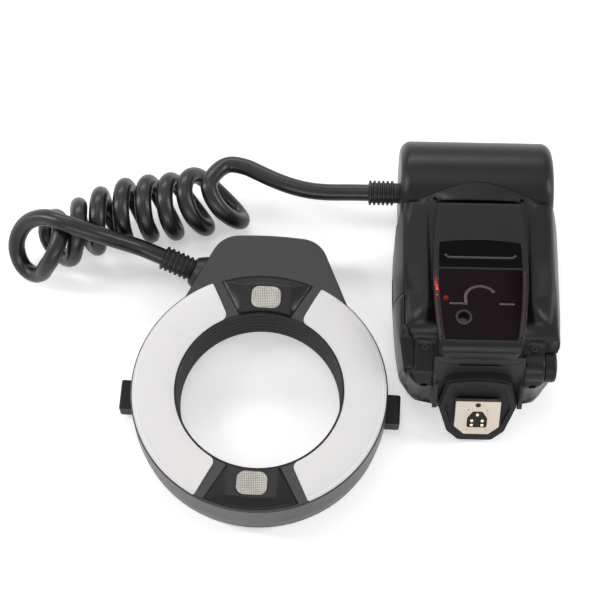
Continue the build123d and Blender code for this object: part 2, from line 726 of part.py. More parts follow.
def ring_mid_frame():
    frame = tube_ring(RECESS_R + RECESS_T + MOVE_GAP, FRAME_OUT_R, FRAME_Z, FRAME_Z + FRAME_T)
    half = BUTTON_W / 2 + 2 * MOVE_GAP
    notch_x = BUTTON_IN_X - RELEASE_TRAVEL - MOVE_GAP
    for side in (1, -1):
        frame = frame - block(side * notch_x, side * (RING_R + OVERRUN), -half, half, 0, RING_H)
    return cut_all(frame, screw_bores(SCREW_SHANK_R + PIN_GAP, 0, RING_H))


def ring_board_posts():
    posts = [disc(POST_R, 0, BOARD_Z, BOARD_X + sx * (BOARD_W / 2 - 2 * POST_R), BOARD_Y + sy * (BOARD_D / 2 - POST_R))
             for sx in (-1, 1) for sy in (-1, 1)]
    return posts[0] + posts[1] + posts[2] + posts[3]


def ring_board():
    """Circuit board in the head housing, with its trigger coil and a capacitor."""
    board = rounded_plate(BOARD_W, BOARD_D, POST_R, BOARD_Z, BOARD_Z + BOARD_T, BOARD_X, BOARD_Y)
    holes = [disc(BOSS_R + MOVE_GAP, 0, RING_H, x, y) for x, y in RING_SCREWS if y > 0]
    board = cut_all(board, holes)
    top = BOARD_Z + BOARD_T
    coil = rod_x(BOARD_D / 4, BOARD_X - BOARD_W / 4, BOARD_X + BOARD_T, BOARD_Y, top + BOARD_D / 4 - BOARD_T / 8)
    cap = block(BOARD_X + BOARD_W / 8, BOARD_X + BOARD_W / 3, BOARD_Y - BOARD_D / 4, BOARD_Y + BOARD_D / 4,
                top, top + BOARD_D / 3)
    return board + coil + cap


# Cord boots

def ribbed_profile(core, rib, length, ribs):
    """Half outline of a ribbed sleeve from its tip at 0 back to -length, rib by rib."""
    pitch = length / ribs
    points = []
    for i in range(ribs):
        top = -i * pitch
        points += [(core, top), (rib, top - pitch * 0.15), (rib, top - pitch * 0.55), (core, top - pitch * 0.7)]
    return points


def ring_cord_boot():
    frame = boot_frame()
    depth = boot_depth()
    flare_start = depth - BOOT_FLARE_L
    points = [(0, 0)] + ribbed_profile(BOOT_CORE_R, BOOT_RIB_R, flare_start, BOOT_RIBS)
    points += [(BOOT_CORE_R, -flare_start), (BOOT_RIB_R + BOOT_FLARE_L / 10, -flare_start - BOOT_FLARE_L / 10)]
    points += [(BOOT_R * 0.84, -flare_start - BOOT_FLARE_L * 0.34), (BOOT_R, -flare_start - BOOT_FLARE_L * 0.7)]
    points += [(BOOT_R, -depth - BOOT_NECK_L / 2), (0, -depth - BOOT_NECK_L / 2)]
    sleeve = revolve_profile([p for i, p in enumerate(points) if i == 0 or p != points[i - 1]])
    sleeve = frame * sleeve
    head = slab(head_face(), -OVERRUN, RING_H + OVERRUN)
    sleeve = sleeve - Pos(*(head_wall_dir() * PIN_GAP)) * head
    neck = frame * Pos(0, 0, -depth - BOOT_NECK_L + FIT) * extrude(Circle(BOOT_NECK_R), BOOT_NECK_L + BOOT_FLARE_L / 2)
    return sleeve + neck


def unit_cord_boot():
    """Ribbed sleeve in the left end of the head tube."""
    points = [(0, 0)] + ribbed_profile(BOOT_CORE_R, UNIT_BOOT_R, UNIT_BOOT_L, BOOT_RIBS)
    neck_end = -(UNIT_X - UNIT_BOOT_END[0] - TUBE_HEAD_HALF) - 2 * UNIT_WALL
    points += [(BOOT_CORE_R, -UNIT_BOOT_L), (BOOT_CORE_R, neck_end), (0, neck_end)]
    sleeve = revolve_profile([p for i, p in enumerate(points) if i == 0 or p != points[i - 1]])
    return Pos(*UNIT_BOOT_END) * Rot(0, -90, 0) * sleeve


# Cord

def path_angle(a, b):
    return degrees(acos(max(-1.0, min(1.0, a.normalized().dot(b.normalized())))))


def free_run(points, name):
    """Tube along straight runs joined by tangent arcs."""
    radii = []
    for a, b, c in zip(points, points[1:], points[2:]):
        one, two = Vector(*b) - Vector(*a), Vector(*c) - Vector(*b)
        turn = path_angle(one, two)
        radii.append(0.45 * min(one.length, two.length) / tan(radians(turn / 2)))
    path = FilletPolyline(*points, radius=radii)
    start = Plane(origin=path @ 0, z_dir=path % 0)
    solid = sweep(start * Circle(CORD_R), path=path)
    share = solid.volume / (pi * CORD_R ** 2 * path.length)
    print(name, "length", round(path.length, 1), "volume share", round(share, 4),
          "radii", [round(r, 1) for r in radii])
    return solid, path.length


def coil_point(curl, angle):
    """Centreline point of a curl. The half over the top is square to the coil, the half below takes the pitch."""
    here = COIL_AXIS[curl]
    after = COIL_AXIS[min(curl + 1, len(COIL_AXIS) - 1)]
    part = (1 + cos(radians(angle))) / 2 if angle > 180 else 0
    x, y, lean = [p + (q - p) * part for p, q in zip(here, after)]
    a = radians(angle)
    return Vector(x - lean * sin(a), y + COIL_R * cos(a), COIL_LIFT + CORD_R + COIL_R + COIL_R * sin(a))


def coil_points():
    """Points a quarter turn apart along the whole coil, with its hand laid ends."""
    points = [Vector(*COIL_RIGHT_END)] + [Vector(*p) for p in COIL_HEAD]
    last = len(COIL_AXIS) - 1
    for curl in range(len(COIL_AXIS)):
        for angle in (0, 90, 180, 270):
            if curl == 0 and angle < 90 or curl == last and angle > 180:
                continue
            points.append(coil_point(curl, angle))
    points += [Vector(*p) for p in COIL_TAIL]
    points.append(Vector(*COIL_LEFT_END))
    return points


def circle_tangent(a, b, c):
    """Direction at b of the circle through three points."""
    u, v = b - a, c - b
    return (u.normalized() * v.length + v.normalized() * u.length).normalized()


def biarc(p0, t0, p1, t1):
    """Two arcs that leave p0 along t0 and reach p1 along t1."""
    v = p1 - p0
    t = t0 + t1
    k = 2 * (1 - t0.dot(t1))
    if k < 1e-6:
        d = v.dot(v) / (4 * v.dot(t1)) if abs(v.dot(t1)) > 1e-6 else v.length / 2
        d = v.dot(v) / (2 * v.dot(t0)) / 2
    else:
        d = (-v.dot(t) + sqrt(v.dot(t) ** 2 + k * v.dot(v))) / k
    q0 = p0 + t0 * d
    q1 = p1 - t1 * d
    return (q0 + q1) / 2


def arc_from(p, tangent, q):
    """Arc from p along its tangent to q, or a line where they are in line."""
    if path_angle(tangent, q - p) < 0.05:
        return Line(p, q)
    return TangentArc(p, q, tangent=tangent)


def cord_coil():
    """Curly part of the cord: one unbroken tube with its curls and the open loops at both ends."""
    points = coil_points()
    tangents = [unit_run_end_dir()]
    for a, b, c in zip(points, points[1:], points[2:]):
        tangents.append(circle_tangent(a, b, c))
    tangents.append(ring_run_start_dir() * -1)
    edges = []
    stub = 2 * CORD_R
    first = points[0] + tangents[0] * stub
    edges.append(Line(points[0], first))
    points[0] = first
    last = points[-1] - tangents[-1] * stub
    tail = Line(last, points[-1])
    points[-1] = last
    for p0, t0, p1, t1 in zip(points, tangents, points[1:], tangents[1:]):
        joint = biarc(p0, t0, p1, t1)
        one = arc_from(p0, t0, joint)
        edges.append(one)
        edges.append(arc_from(joint, one % 1, p1))
    edges.append(tail)
    path = Wire(edges)
    start = Plane(origin=path @ 0, z_dir=path % 0)
    solid = sweep(start * Circle(CORD_R), path=path)
    share = solid.volume / (pi * CORD_R ** 2 * path.length)
    print("cord_coil length", round(path.length, 1), "volume share", round(share, 4),
          "least gap to itself", round(self_gap(path), 2))
    return solid, path.length


def self_gap(path):
    """Least gap between stretches of the tube that lie over two diameters apart along it."""
    count = ceil(path.length / CORD_R * 2)
    spots = [path @ (i / count) for i in range(count + 1)]
    step = path.length / count
    skip = ceil(6 * CORD_R / step)
    least = path.length
    for i, a in enumerate(spots):
        for b in spots[i + skip:]:
            least = min(least, (a - b).length)
    return least - 2 * CORD_R


def unit_run_end_dir():
    return (Vector(*COIL_RIGHT_END) - Vector(*UNIT_RUN[-1])).normalized()


def ring_run_start_dir():
    """Direction from the coil's left end towards the ring, reversed along the coil."""
    return (Vector(*COIL_LEFT_END) - Vector(*RING_RUN[-1])).normalized()


# Control unit: outer form

def plan_face(inset=0.0):
    """Outline of the body seen from the front."""
    def half(s):
        side = ThreePointArc((s * BODY_HALF_TOP, BODY_TOP_Y), (s * BODY_HALF_MID, BODY_MID_Y), (s * BODY_HALF_LOW, BODY_LOW_Y))
        low = Polyline((s * BODY_HALF_LOW, BODY_LOW_Y), (s * BODY_CORNER_X, BODY_CORNER_Y),
                       (s * BODY_CHIN_X, BODY_CHIN_Y), (0, BODY_END_Y))
        return [side, low]
    top = Line((-BODY_HALF_TOP, BODY_TOP_Y), (BODY_HALF_TOP, BODY_TOP_Y))
    face = make_face([top] + half(1) + half(-1))
    tops = [v for v in face.vertices() if abs(v.Y - BODY_TOP_Y) < PIN_GAP]
    face = fillet(tops, UNIT_WALL * 1.6)
    lows = [v for v in face.vertices() if BODY_CHIN_Y - PIN_GAP < v.Y < BODY_CORNER_Y + PIN_GAP]
    face = fillet(lows, UNIT_WALL * 2.4)
    return offset(face, -inset) if inset else face


def side_face(inset=0.0):
    """Outline of the body seen from its side, as (y, z)."""
    f = radians(FOOT_ANGLE)
    back = FLANGE_T + RAIL_GAP + PLATE_T
    base_y = FOOT_Y + back * cos(f)
    base_z = FOOT_Z - back * sin(f)
    slope = tan(f)
    low_z = BODY_BACK_SIDE_Z
    low_y = base_y - (base_z - low_z) * slope
    chin_z = BODY_STEP_Z - (BODY_STEP_Z - base_z) * 0.28
    chin_y = base_y + (chin_z - base_z) * slope
    points = [(BODY_TOP_Y, 0), (BODY_TOP_Y, BODY_FRONT_Z), (SPINE_MID_Y, BODY_FRONT_Z),
              (BODY_LOW_Y, BODY_PAD_LOW_Z), (BODY_STEP_Y, BODY_STEP_Z), (chin_y, chin_z), (low_y, low_z), (BODY_CHIN_Y, 0)]
    face = make_face(Polyline(*points, close=True))
    corners = [v for v in face.vertices() if v.X < BODY_STEP_Y + PIN_GAP]
    face = fillet(corners, UNIT_WALL * 1.5)
    return offset(face, -inset) if inset else face


def section_face(inset=0.0):
    """Outline of the body's cross section, as (x, z)."""
    def half(s):
        shoulder = ThreePointArc((s * BODY_SHOULDER_X, BODY_SHOULDER_Z),
                                 (s * (BODY_HALF_MID - 1.1 * SHELL / 2), BODY_SIDE_Z + SHELL * 4),
                                 (s * (BODY_HALF_MID + FIT), BODY_SIDE_Z))
        back = ThreePointArc((s * (BODY_HALF_MID + FIT), BODY_SIDE_Z),
                             (s * (BODY_HALF_MID - SHELL / 2), BODY_BACK_SIDE_Z + SHELL),
                             (s * BODY_BACK_X, 0))
        front = Line((s * SPINE_HALF_MID, BODY_FRONT_Z), (s * BODY_SHOULDER_X, BODY_SHOULDER_Z))
        return [front, shoulder, back]
    top = Line((-SPINE_HALF_MID, BODY_FRONT_Z), (SPINE_HALF_MID, BODY_FRONT_Z))
    floor = Line((-BODY_BACK_X, 0), (BODY_BACK_X, 0))
    face = make_face([top, floor] + half(1) + half(-1))
    knees = [v for v in face.vertices() if abs(v.Y - BODY_SHOULDER_Z) < PIN_GAP]
    face = fillet(knees, SHELL * 1.5)
    return offset(face, -inset) if inset else face


def body_form(inset=0.0):
    """Body without its spine, cut clear of the head tube."""
    plan = slab(plan_face(inset), -OVERRUN, BODY_FRONT_Z + OVERRUN)
    side_plane = Plane(origin=(-BODY_HALF_MID - OVERRUN, 0, 0), x_dir=(0, 1, 0), z_dir=(1, 0, 0))
    side = extrude(side_plane * side_face(inset), 2 * (BODY_HALF_MID + OVERRUN))
    cross_plane = Plane(origin=(0, 0, 0), x_dir=(1, 0, 0), z_dir=(0, -1, 0))
    cross = extrude(cross_plane * section_face(inset), -BODY_END_Y + OVERRUN)
    form = plan & side & cross
    return form - rod_x(TUBE_HEAD_R + MOVE_GAP + inset, -2 * BODY_HALF_MID, 2 * BODY_HALF_MID, 0, TUBE_HEAD_R)


def neck_form(inset=0.0):
    """Arched collar between the body and the head tube."""
    low, high = NECK_LOW_Z + inset, NECK_TOP_Z - inset
    half = NECK_HALF - inset
    side_z = NECK_SIDE_Z - inset
    knee = (NECK_SHOULDER_X - inset, NECK_SHOULDER_Z - inset)
    sides = Polyline((-knee[0], knee[1]), (-half, side_z), (-half, low), (half, low), (half, side_z), knee)
    face = make_face([sides, ThreePointArc(knee, (0, high), (-knee[0], knee[1]))])
    face = fillet([v for v in face.vertices() if v.Y > side_z + PIN_GAP], PAD_CORNER)
    plane = Plane(origin=(0, 0, 0), x_dir=(1, 0, 0), z_dir=(0, -1, 0))
    start = extrude(plane * face, -BODY_TOP_Y + UNIT_WALL + inset)
    return start - rod_x(TUBE_HEAD_R + PIN_GAP, -2 * BODY_HALF_MID, 2 * BODY_HALF_MID, 0, TUBE_HEAD_R)


def foot_plane(n=0.0):
    """Plane parallel to the shoe plate's face: u along X, v up the plate, normal out of the foot."""
    f = radians(FOOT_ANGLE)
    normal = Vector(0, -cos(f), sin(f))
    origin = Vector(0, FOOT_Y, FOOT_Z) + normal * n
    return Plane(origin=origin, x_dir=(1, 0, 0), z_dir=normal)


def foot_solid(face, n0, n1):
    """Prism on the foot's plane between two levels along its normal."""
    return extrude(foot_plane(n0) * face, n1 - n0)


def housing_form():
    """Grey bridge under the window that carries the foot, with a cheek on each side of the foot block."""
    f = radians(FOOT_ANGLE)
    base = foot_plane(BLOCK_BACK).origin
    up = Vector(0, sin(f), cos(f))
    top = base + up * (FLANGE_TOP_V + SEAM_GAP)
    low = base + up * HOUSING_LOW_V
    inner = HOUSING_T / cos(f)
    back_y = BODY_END_Y + HOUSING_T
    points = [(SPINE_LOW_Y, BODY_STEP_Z + HOUSING_T), (SPINE_LOW_Y - HOUSING_T * 0.6, BODY_STEP_Z), (top.Y, top.Z),
              (low.Y, low.Z), (back_y, low.Z), (back_y, base.Z), (top.Y + inner, top.Z - HOUSING_T),
              (SPINE_LOW_Y, BODY_STEP_Z - HOUSING_T * 1.6)]
    plane = Plane(origin=(-HOUSING_HALF, 0, 0), x_dir=(0, 1, 0), z_dir=(1, 0, 0))
    bridge = extrude(plane * make_face(Polyline(*points, close=True)), 2 * HOUSING_HALF)
    high_v = FLANGE_TOP_V - FLANGE_CORNER
    for s in (1, -1):
        cheek = Pos(s * (HOUSING_HALF - CHEEK_T / 2), (HOUSING_LOW_V + high_v) / 2, 0) * Rectangle(CHEEK_T, high_v - HOUSING_LOW_V)
        bridge = bridge + foot_solid(cheek, BLOCK_BACK - SEAM_GAP, BLOCK_BACK + CHEEK_H)
    return bridge


def lock_zone(radius, x0, x1):
    return rod_x(radius, x0, x1, LOCK_Y, LOCK_Z)


def door_face(gap=0.0):
    """Outline of the battery door seen from the front: the side wall and a strip of the lower front."""
    far = -BODY_HALF_MID - OVERRUN
    points = [(far, DOOR_TOP_Y), (DOOR_SIDE_X, DOOR_TOP_Y), (DOOR_SIDE_X, DOOR_BEND_Y), (DOOR_FRONT_X, DOOR_STEP_Y),
              (DOOR_FRONT_X, DOOR_END_Y), (far, DOOR_END_Y)]
    face = make_face(Polyline(*points, close=True))
    face = fillet([v for v in face.vertices() if v.X > far + OVERRUN], UNIT_WALL)
    return offset(face, gap) if gap else face


def door_zone(gap=0.0):
    """Upright prism that the door slides out of, towards the front."""
    return slab(door_face(gap), DOOR_Z0 - gap, 2 * BODY_FRONT_Z)


def grip_pads():
    """Raised pads on both sides of the spine."""
    skin = body_form(-PAD_RISE) - body_form()
    pads = []
    for s in (1, -1):
        face = make_face(Polyline((s * PAD_OUT_X, BODY_TOP_Y), (s * PAD_OUT_X, PAD_LOW_Y / 2), (s * PAD_LOW_OUT_X, PAD_LOW_Y),
                                  (s * PAD_IN_LOW_X, PAD_LOW_Y), (s * PAD_IN_X, BODY_TOP_Y), close=True))
        face = fillet([v for v in face.vertices() if v.Y < PAD_LOW_Y + PIN_GAP], PAD_CORNER)
        pads.append(skin & slab(face, BODY_FRONT_Z - 2 * SHELL, BODY_FRONT_Z + OVERRUN))
    return pads


def body_shells():
    """Front and back shells of the body, with their openings."""
    outer = body_form()
    shell = outer - body_form(UNIT_WALL)
    floor = outer & block(-PANEL_HALF - SHELL, PANEL_HALF + SHELL, PANEL_TOP_Y + UNIT_WALL, PANEL_LOW_Y - SHELL, 0, UNIT_BACK_WALL)
    shell = shell + floor
    shell = shell + (neck_form() - neck_form(UNIT_WALL))
    shell = shell - body_form(UNIT_WALL) + floor
    shell = shell - slab(spine_face(-PIN_GAP), BODY_FRONT_Z, 2 * SPINE_RIDGE_Z)
    shell = shell - housing_form() - spine_cavity()
    for pad in grip_pads():
        shell = shell + pad
    shell = shell + (lock_zone(LOCK_R, LOCK_BULGE_X0, LOCK_BOSS_X0) - body_form(UNIT_WALL) - housing_form())
    shell = shell + lock_zone(LOCK_R, LOCK_BOSS_X0, LOCK_BOSS_X1)
    shell = shell - lock_zone(LOCK_SHAFT_R + PIN_GAP, LOCK_BOSS_X0 - FIT, LOCK_BOSS_X1 + OVERRUN)
    shell = shell - lock_zone(LOCK_R + MOVE_GAP, LOCK_BOSS_X1, BODY_HALF_MID + OVERRUN)
    shell = shell - door_zone(MOVE_GAP)
    thumb = Plane(origin=(-BODY_HALF_MID, THUMB_Y, THUMB_Z), x_dir=(0, 1, 0), z_dir=(-1, 0, 0))
    grip = SlotOverall(THUMB_L, THUMB_W)
    shell = shell - extrude(thumb * grip, -THUMB_DEPTH) - extrude(thumb * grip, OVERRUN)
    shell = shell - terminal_form(FIT)
    shell = cut_all(shell, [foot_screw_bore(s) for s in (1, -1)])
    wells = [disc(UNIT_SCREW_HEAD_R + FIT, UNIT_TOP_SCREW_Z, BODY_FRONT_Z + OVERRUN, s * UNIT_SCREW_X, UNIT_SCREW_UP_Y)
             for s in (1, -1)]
    shell = cut_all(shell, wells)
    front = shell & block(-2 * BODY_HALF_MID, 2 * BODY_HALF_MID, OVERRUN, BODY_END_Y - OVERRUN, UNIT_SPLIT_Z + SEAM_GAP, 2 * SPINE_RIDGE_Z)
    back = shell & block(-2 * BODY_HALF_MID, 2 * BODY_HALF_MID, OVERRUN, BODY_END_Y - OVERRUN, -OVERRUN, UNIT_SPLIT_Z)
    return front, back


def foot_screw_plane(side):
    """Seat of a screw beside the foot, square to the foot's normal."""
    point = Vector(side * UNIT_SCREW_X, UNIT_SCREW_LOW_Y, UNIT_SCREW_LOW_Z)
    normal = foot_plane().z_dir
    return Plane(origin=point - normal * SCREW_WELL, x_dir=(1, 0, 0), z_dir=normal)


def foot_screw_bore(side):
    return extrude(foot_screw_plane(side) * Circle(UNIT_SCREW_HEAD_R + FIT), OVERRUN)


def spine_face(inset=0.0):
    def side(s):
        return ThreePointArc((s * SPINE_HALF_TOP, BODY_TOP_Y), (s * SPINE_HALF_MID, SPINE_MID_Y), (s * SPINE_HALF_LOW, SPINE_LOW_Y))
    face = make_face([side(1), side(-1), Line((-SPINE_HALF_TOP, BODY_TOP_Y), (SPINE_HALF_TOP, BODY_TOP_Y)),
                      Line((-SPINE_HALF_LOW, SPINE_LOW_Y), (SPINE_HALF_LOW, SPINE_LOW_Y))])
    face = fillet([v for v in face.vertices() if v.Y < SPINE_LOW_Y + PIN_GAP], SPINE_CORNER)
    return offset(face, -inset) if inset else face


def spine_form(drop=0.0):
    """Raised spine on the front, with its bevelled sides and chin."""
    prism = slab(spine_face(), BODY_FRONT_Z - BODY_FRONT_Z / 4, 2 * SPINE_RIDGE_Z)
    points = [(BODY_TOP_Y, BODY_FRONT_Z / 2), (BODY_TOP_Y, SPINE_TOP_Z - drop), (SPINE_MID_Y, SPINE_RIDGE_Z - drop),
              (RED_LOW_Y, SPINE_CHIN_Z - drop), (RED_LOW_Y - SPINE_WALL, SPINE_CHIN_Z - drop - SPINE_BEVEL),
              (SPINE_LOW_Y, BODY_FRONT_Z - drop), (SPINE_LOW_Y, BODY_FRONT_Z / 2)]
    plane = Plane(origin=(-BODY_HALF_MID, 0, 0), x_dir=(0, 1, 0), z_dir=(1, 0, 0))
    wedge = extrude(plane * make_face(Polyline(*points, close=True)), 2 * BODY_HALF_MID)
    return prism & wedge


def red_face(inset=0.0):
    face = spine_face(SPINE_WALL + inset)
    band = Pos(0, (SPINE_MID_Y + RED_LOW_Y) / 2, 0) * Rectangle(2 * BODY_HALF_MID, SPINE_MID_Y - RED_LOW_Y - WINDOW_GAP_Y - 2 * inset)
    return face & band


def black_face(inset=0.0):
    face = spine_face(SPINE_WALL + inset)
    top = BLACK_TOP_Y - inset
    low = SPINE_MID_Y + WINDOW_GAP_Y + inset
    wide = SPINE_HALF_MID
    band = make_face([ThreePointArc((-wide, top - BLACK_RISE), (0, top), (wide, top - BLACK_RISE)),
                      Polyline((wide, top - BLACK_RISE), (wide, low), (-wide, low), (-wide, top - BLACK_RISE))])
    return face & band


def window(face, drop=0.0):
    """Panel of even thickness that follows the spine's face."""
    return (slab(face, BODY_FRONT_Z / 2, 2 * SPINE_RIDGE_Z) & spine_form(drop)) - spine_form(drop + WINDOW_T)


def spine_cavity():
    return slab(red_face(SPINE_WALL / 2), BODY_FRONT_Z / 2, BODY_FRONT_Z + OVERRUN / 10)


def spine_plate():
    plate = spine_form() & slab(spine_face(), BODY_FRONT_Z, 2 * SPINE_RIDGE_Z)
    for face in (black_face(), red_face()):
        pocket = slab(face, BODY_FRONT_Z / 2, 2 * SPINE_RIDGE_Z) - spine_form(WINDOW_T)
        plate = plate - pocket
    return plate - slab(red_face(SPINE_WALL / 2), BODY_FRONT_Z / 2, 2 * SPINE_RIDGE_Z)


def assist_board():
    return slab(red_face(-FIT), ASSIST_Z - ASSIST_BOARD_T, ASSIST_Z) & body_form(UNIT_WALL + PIN_GAP)


def lamp_top():
    return SPINE_CHIN_Z - WINDOW_T - LAMP_TOP_GAP


def assist_lamps():
    """Arched prism and two bar lenses on the assist board."""
    low = ASSIST_Z
    arc = sector_face(ARCH_R - ARCH_T, ARCH_R, ARCH_OPEN, 180 - 2 * ARCH_OPEN)
    arch = Pos(0, ARCH_Y, low) * extrude(arc, lamp_top() - low)
    bars = [Pos(s * BAR_X, ARCH_Y, low) * extrude(Rectangle(BAR_W, BAR_D), lamp_top() - low) for s in (1, -1)]
    return group([arch] + bars)


def ready_led():
    low = ASSIST_Z
    return disc(LED_R, low, lamp_top() - LED_R, LED_X, LED_Y) + Pos(LED_X, LED_Y, lamp_top() - LED_R) * Sphere(LED_R)


def spine_level(y):
    """Height of the spine's face over the red window."""
    share = (y - SPINE_MID_Y) / (RED_LOW_Y - SPINE_MID_Y)
    return SPINE_RIDGE_Z + (SPINE_CHIN_Z - SPINE_RIDGE_Z) * share


def sensor_eye():
    """Collar that passes the red window, with the sensor at the bottom of its bore."""
    top = spine_level(SENSOR_Y) + SENSOR_PROUD
    body = disc(SENSOR_R, ASSIST_Z, top, SENSOR_X, SENSOR_Y)
    return body - disc(SENSOR_BORE_R, top - SENSOR_DEPTH, top + OVERRUN, SENSOR_X, SENSOR_Y)


def red_window():
    return window(red_face(FIT)) - disc(SENSOR_R + FIT, 0, 2 * SPINE_RIDGE_Z, SENSOR_X, SENSOR_Y)


# Head tube of the unit

def head_tube_form(inset=0.0):
    bar = rod_x(TUBE_HEAD_R - inset, -TUBE_HEAD_HALF + inset, TUBE_HEAD_HALF - inset, 0, TUBE_HEAD_R)
    ends = [e for e in bar.edges() if abs(abs(e.center().X) - TUBE_HEAD_HALF + inset) < PIN_GAP]
    return fillet(ends, TUBE_HEAD_EDGE - inset)


def head_shells():
    shell = head_tube_form() - head_tube_form(UNIT_WALL)
    window_cut = block(-NECK_HALF + 2 * UNIT_WALL, NECK_HALF - 2 * UNIT_WALL, 0, -2 * TUBE_HEAD_R,
                       NECK_LOW_Z + 3 * UNIT_WALL, NECK_SIDE_Z - 2 * UNIT_WALL)
    shell = shell - window_cut
    wire_y = UNIT_BOOT_END[1] - UNIT_Y
    shell = shell - rod_x(BOOT_CORE_R + FIT, -2 * TUBE_HEAD_HALF, -TUBE_HEAD_HALF + 2 * UNIT_WALL, wire_y, UNIT_BOOT_END[2])
    big = 2 * TUBE_HEAD_R
    front = shell & block(-2 * big, 2 * big, big, -big, TUBE_HEAD_R + SEAM_GAP, 2 * big)
    back = shell & block(-2 * big, 2 * big, big, -big, -OVERRUN, TUBE_HEAD_R)
    for s in (1, -1):
        rib = rod_x(TUBE_HEAD_R - UNIT_WALL / 2, s * CRADLE_X - CRADLE_T / 2, s * CRADLE_X + CRADLE_T / 2, 0, TUBE_HEAD_R)
        rib = rib & block(-2 * big, 2 * big, big, -big, -OVERRUN, TUBE_HEAD_R)
        rib = rib - rod_x(CAP_R + FIT, -2 * big, 2 * big, 0, TUBE_HEAD_R) - window_cut
        back = back + rib
    return front, back


def main_capacitor():
    can = rod_x(CAP_R, -CAP_HALF, CAP_HALF, 0, TUBE_HEAD_R)
    ends = [e for e in can.edges() if abs(abs(e.center().X) - CAP_HALF) < PIN_GAP]
    return fillet(ends, UNIT_WALL)


# Foot

def flange_face():
    points = [(-FLANGE_TOP_HALF, FLANGE_TOP_V - FLANGE_CORNER / 3), (-FLANGE_HALF, FLANGE_SHOULDER_V),
              (-FLANGE_LOW_HALF - FLANGE_CORNER, FLANGE_LOW_V + FLANGE_CORNER), (-FLANGE_LOW_HALF, FLANGE_LOW_V)]
    right = [(-u, v) for u, v in reversed(points)]
    outline = Polyline(*(points + right))
    crown = ThreePointArc(right[-1], (0, FLANGE_TOP_V), points[0])
    face = make_face([outline, crown])
    return fillet(face.vertices(), FLANGE_CORNER * 0.6)


def foot_block():
    """Rounded black block with a raised rim round the shoe plate."""
    low = BLOCK_BACK + SEAM_GAP
    top = -(PLATE_T + RAIL_GAP)
    body = foot_solid(flange_face(), low, top)
    rim = foot_solid(offset(flange_face(), -RIM_W / 4), top, top + RIM_H) - foot_solid(offset(flange_face(), -RIM_W), top - OVERRUN, top + OVERRUN)
    rim = rim - foot_solid(Pos(0, FLANGE_LOW_V, 0) * Rectangle(3 * FLANGE_HALF, FLANGE_TOP_V), top - OVERRUN, top + OVERRUN)
    neck = foot_solid(Rectangle(PLATE_NECK_W, PLATE_D - PLATE_CHAMFER), top, -PLATE_T)
    block_solid = body + rim + neck
    pin_way = foot_solid(Pos(0, LOCK_PIN_V, 0) * Circle(LOCK_PIN_R + MOVE_GAP), low - OVERRUN, 0)
    return block_solid - pin_way


def plate_face():
    w, d, c = PLATE_W / 2, PLATE_D / 2, PLATE_CHAMFER
    return make_face(Polyline((-w, d), (-w, c - d), (c - w, -d), (w - c, -d), (w, c - d), (w, d), close=True))


def insulator_face(grow=0.0):
    r = INSULATOR_R
    points = [(-r * 0.42, r * 0.8), (r * 0.42, r * 0.8), (r * 0.9, 0), (r * 0.9, -r * 1.1), (-r * 0.9, -r * 1.1), (-r * 0.9, 0)]
    face = fillet(make_face(Polyline(*points, close=True)).vertices(), r * 0.2)
    return offset(face, grow) if grow else face


def contact_spots():
    r = INSULATOR_R
    return [(0, r * 0.42), (-r * 0.47, -r * 0.3), (r * 0.47, -r * 0.3), (-r * 0.47, -r * 0.82), (r * 0.47, -r * 0.82)]


def shoe_plate():
    plate = foot_solid(plate_face(), -PLATE_T, 0)
    top = [e for e in plate.edges() if abs((e.center() - foot_plane().origin).dot(foot_plane().z_dir)) < PIN_GAP]
    plate = chamfer(top, FIT * 2)
    plate = plate - foot_solid(insulator_face(PIN_GAP), -PLATE_T / 2, OVERRUN)
    return plate - foot_solid(Pos(0, LOCK_PIN_V, 0) * Circle(LOCK_PIN_R + MOVE_GAP / 2), -OVERRUN, OVERRUN)


def contact_insulator():
    body = foot_solid(insulator_face(), -PLATE_T / 2, -FIT)
    for u, v in contact_spots():
        body = body - foot_solid(Pos(u, v, 0) * Circle(CONTACT_R + PIN_GAP), -PLATE_T / 2, OVERRUN)
    return body


def contact_pins():
    pins = []
    for u, v in contact_spots():
        pin = foot_solid(Pos(u, v, 0) * Circle(CONTACT_R), -PLATE_T / 2, CONTACT_H)
        top = [e for e in pin.edges() if (e.center() - foot_plane().origin).dot(foot_plane().z_dir) > CONTACT_H / 2]
        pins.append(fillet(top, CONTACT_R / 2))
    return group(pins)


def lock_pin():
    return foot_solid(Pos(0, LOCK_PIN_V, 0) * Circle(LOCK_PIN_R), -LOCK_PIN_L, -PIN_GAP)


def lock_knob():
    cap = lock_zone(LOCK_R, LOCK_BOSS_X1 + MOVE_GAP, LOCK_KNOB_X1)
    end = [e for e in cap.edges() if abs(e.center().X - LOCK_KNOB_X1) < PIN_GAP]
    cap = fillet(end, UNIT_WALL)
    cap = cap + lock_zone(LOCK_SHAFT_R, LOCK_BOSS_X0, LOCK_BOSS_X1 + UNIT_WALL)
    return cap


# Battery side

def battery_cells():
    cells = []
    pitch = 2 * CELL_R + CELL_GAP
    for i in range(2):
        for j in range(2):
            y = CELL_Y - i * pitch
            z = CELL_Z + j * pitch
            cell = rod_x(CELL_R, CELL_X0, CELL_X0 + CELL_L, y, z)
            nub_x = CELL_X0 + CELL_L if (i + j) % 2 else CELL_X0 - CELL_NUB_L
            cells.append(cell + rod_x(CELL_NUB_R, nub_x, nub_x + CELL_NUB_L, y, z))
    return group(cells)


def battery_door():
    """Side cover that follows the body's outline and slides off towards the front."""
    return (body_form() - body_form(DOOR_T)) & door_zone()


def terminal_form(grow=0.0):
    plane = Plane(origin=(BODY_HALF_LOW + TERMINAL_PROUD, TERMINAL_Y, TERMINAL_Z), x_dir=(0, 1, 0), z_dir=(1, 0, 0))
    face = SlotOverall(TERMINAL_L + 2 * grow, TERMINAL_W + 2 * grow)
    return extrude(plane * face, -TERMINAL_T - grow)


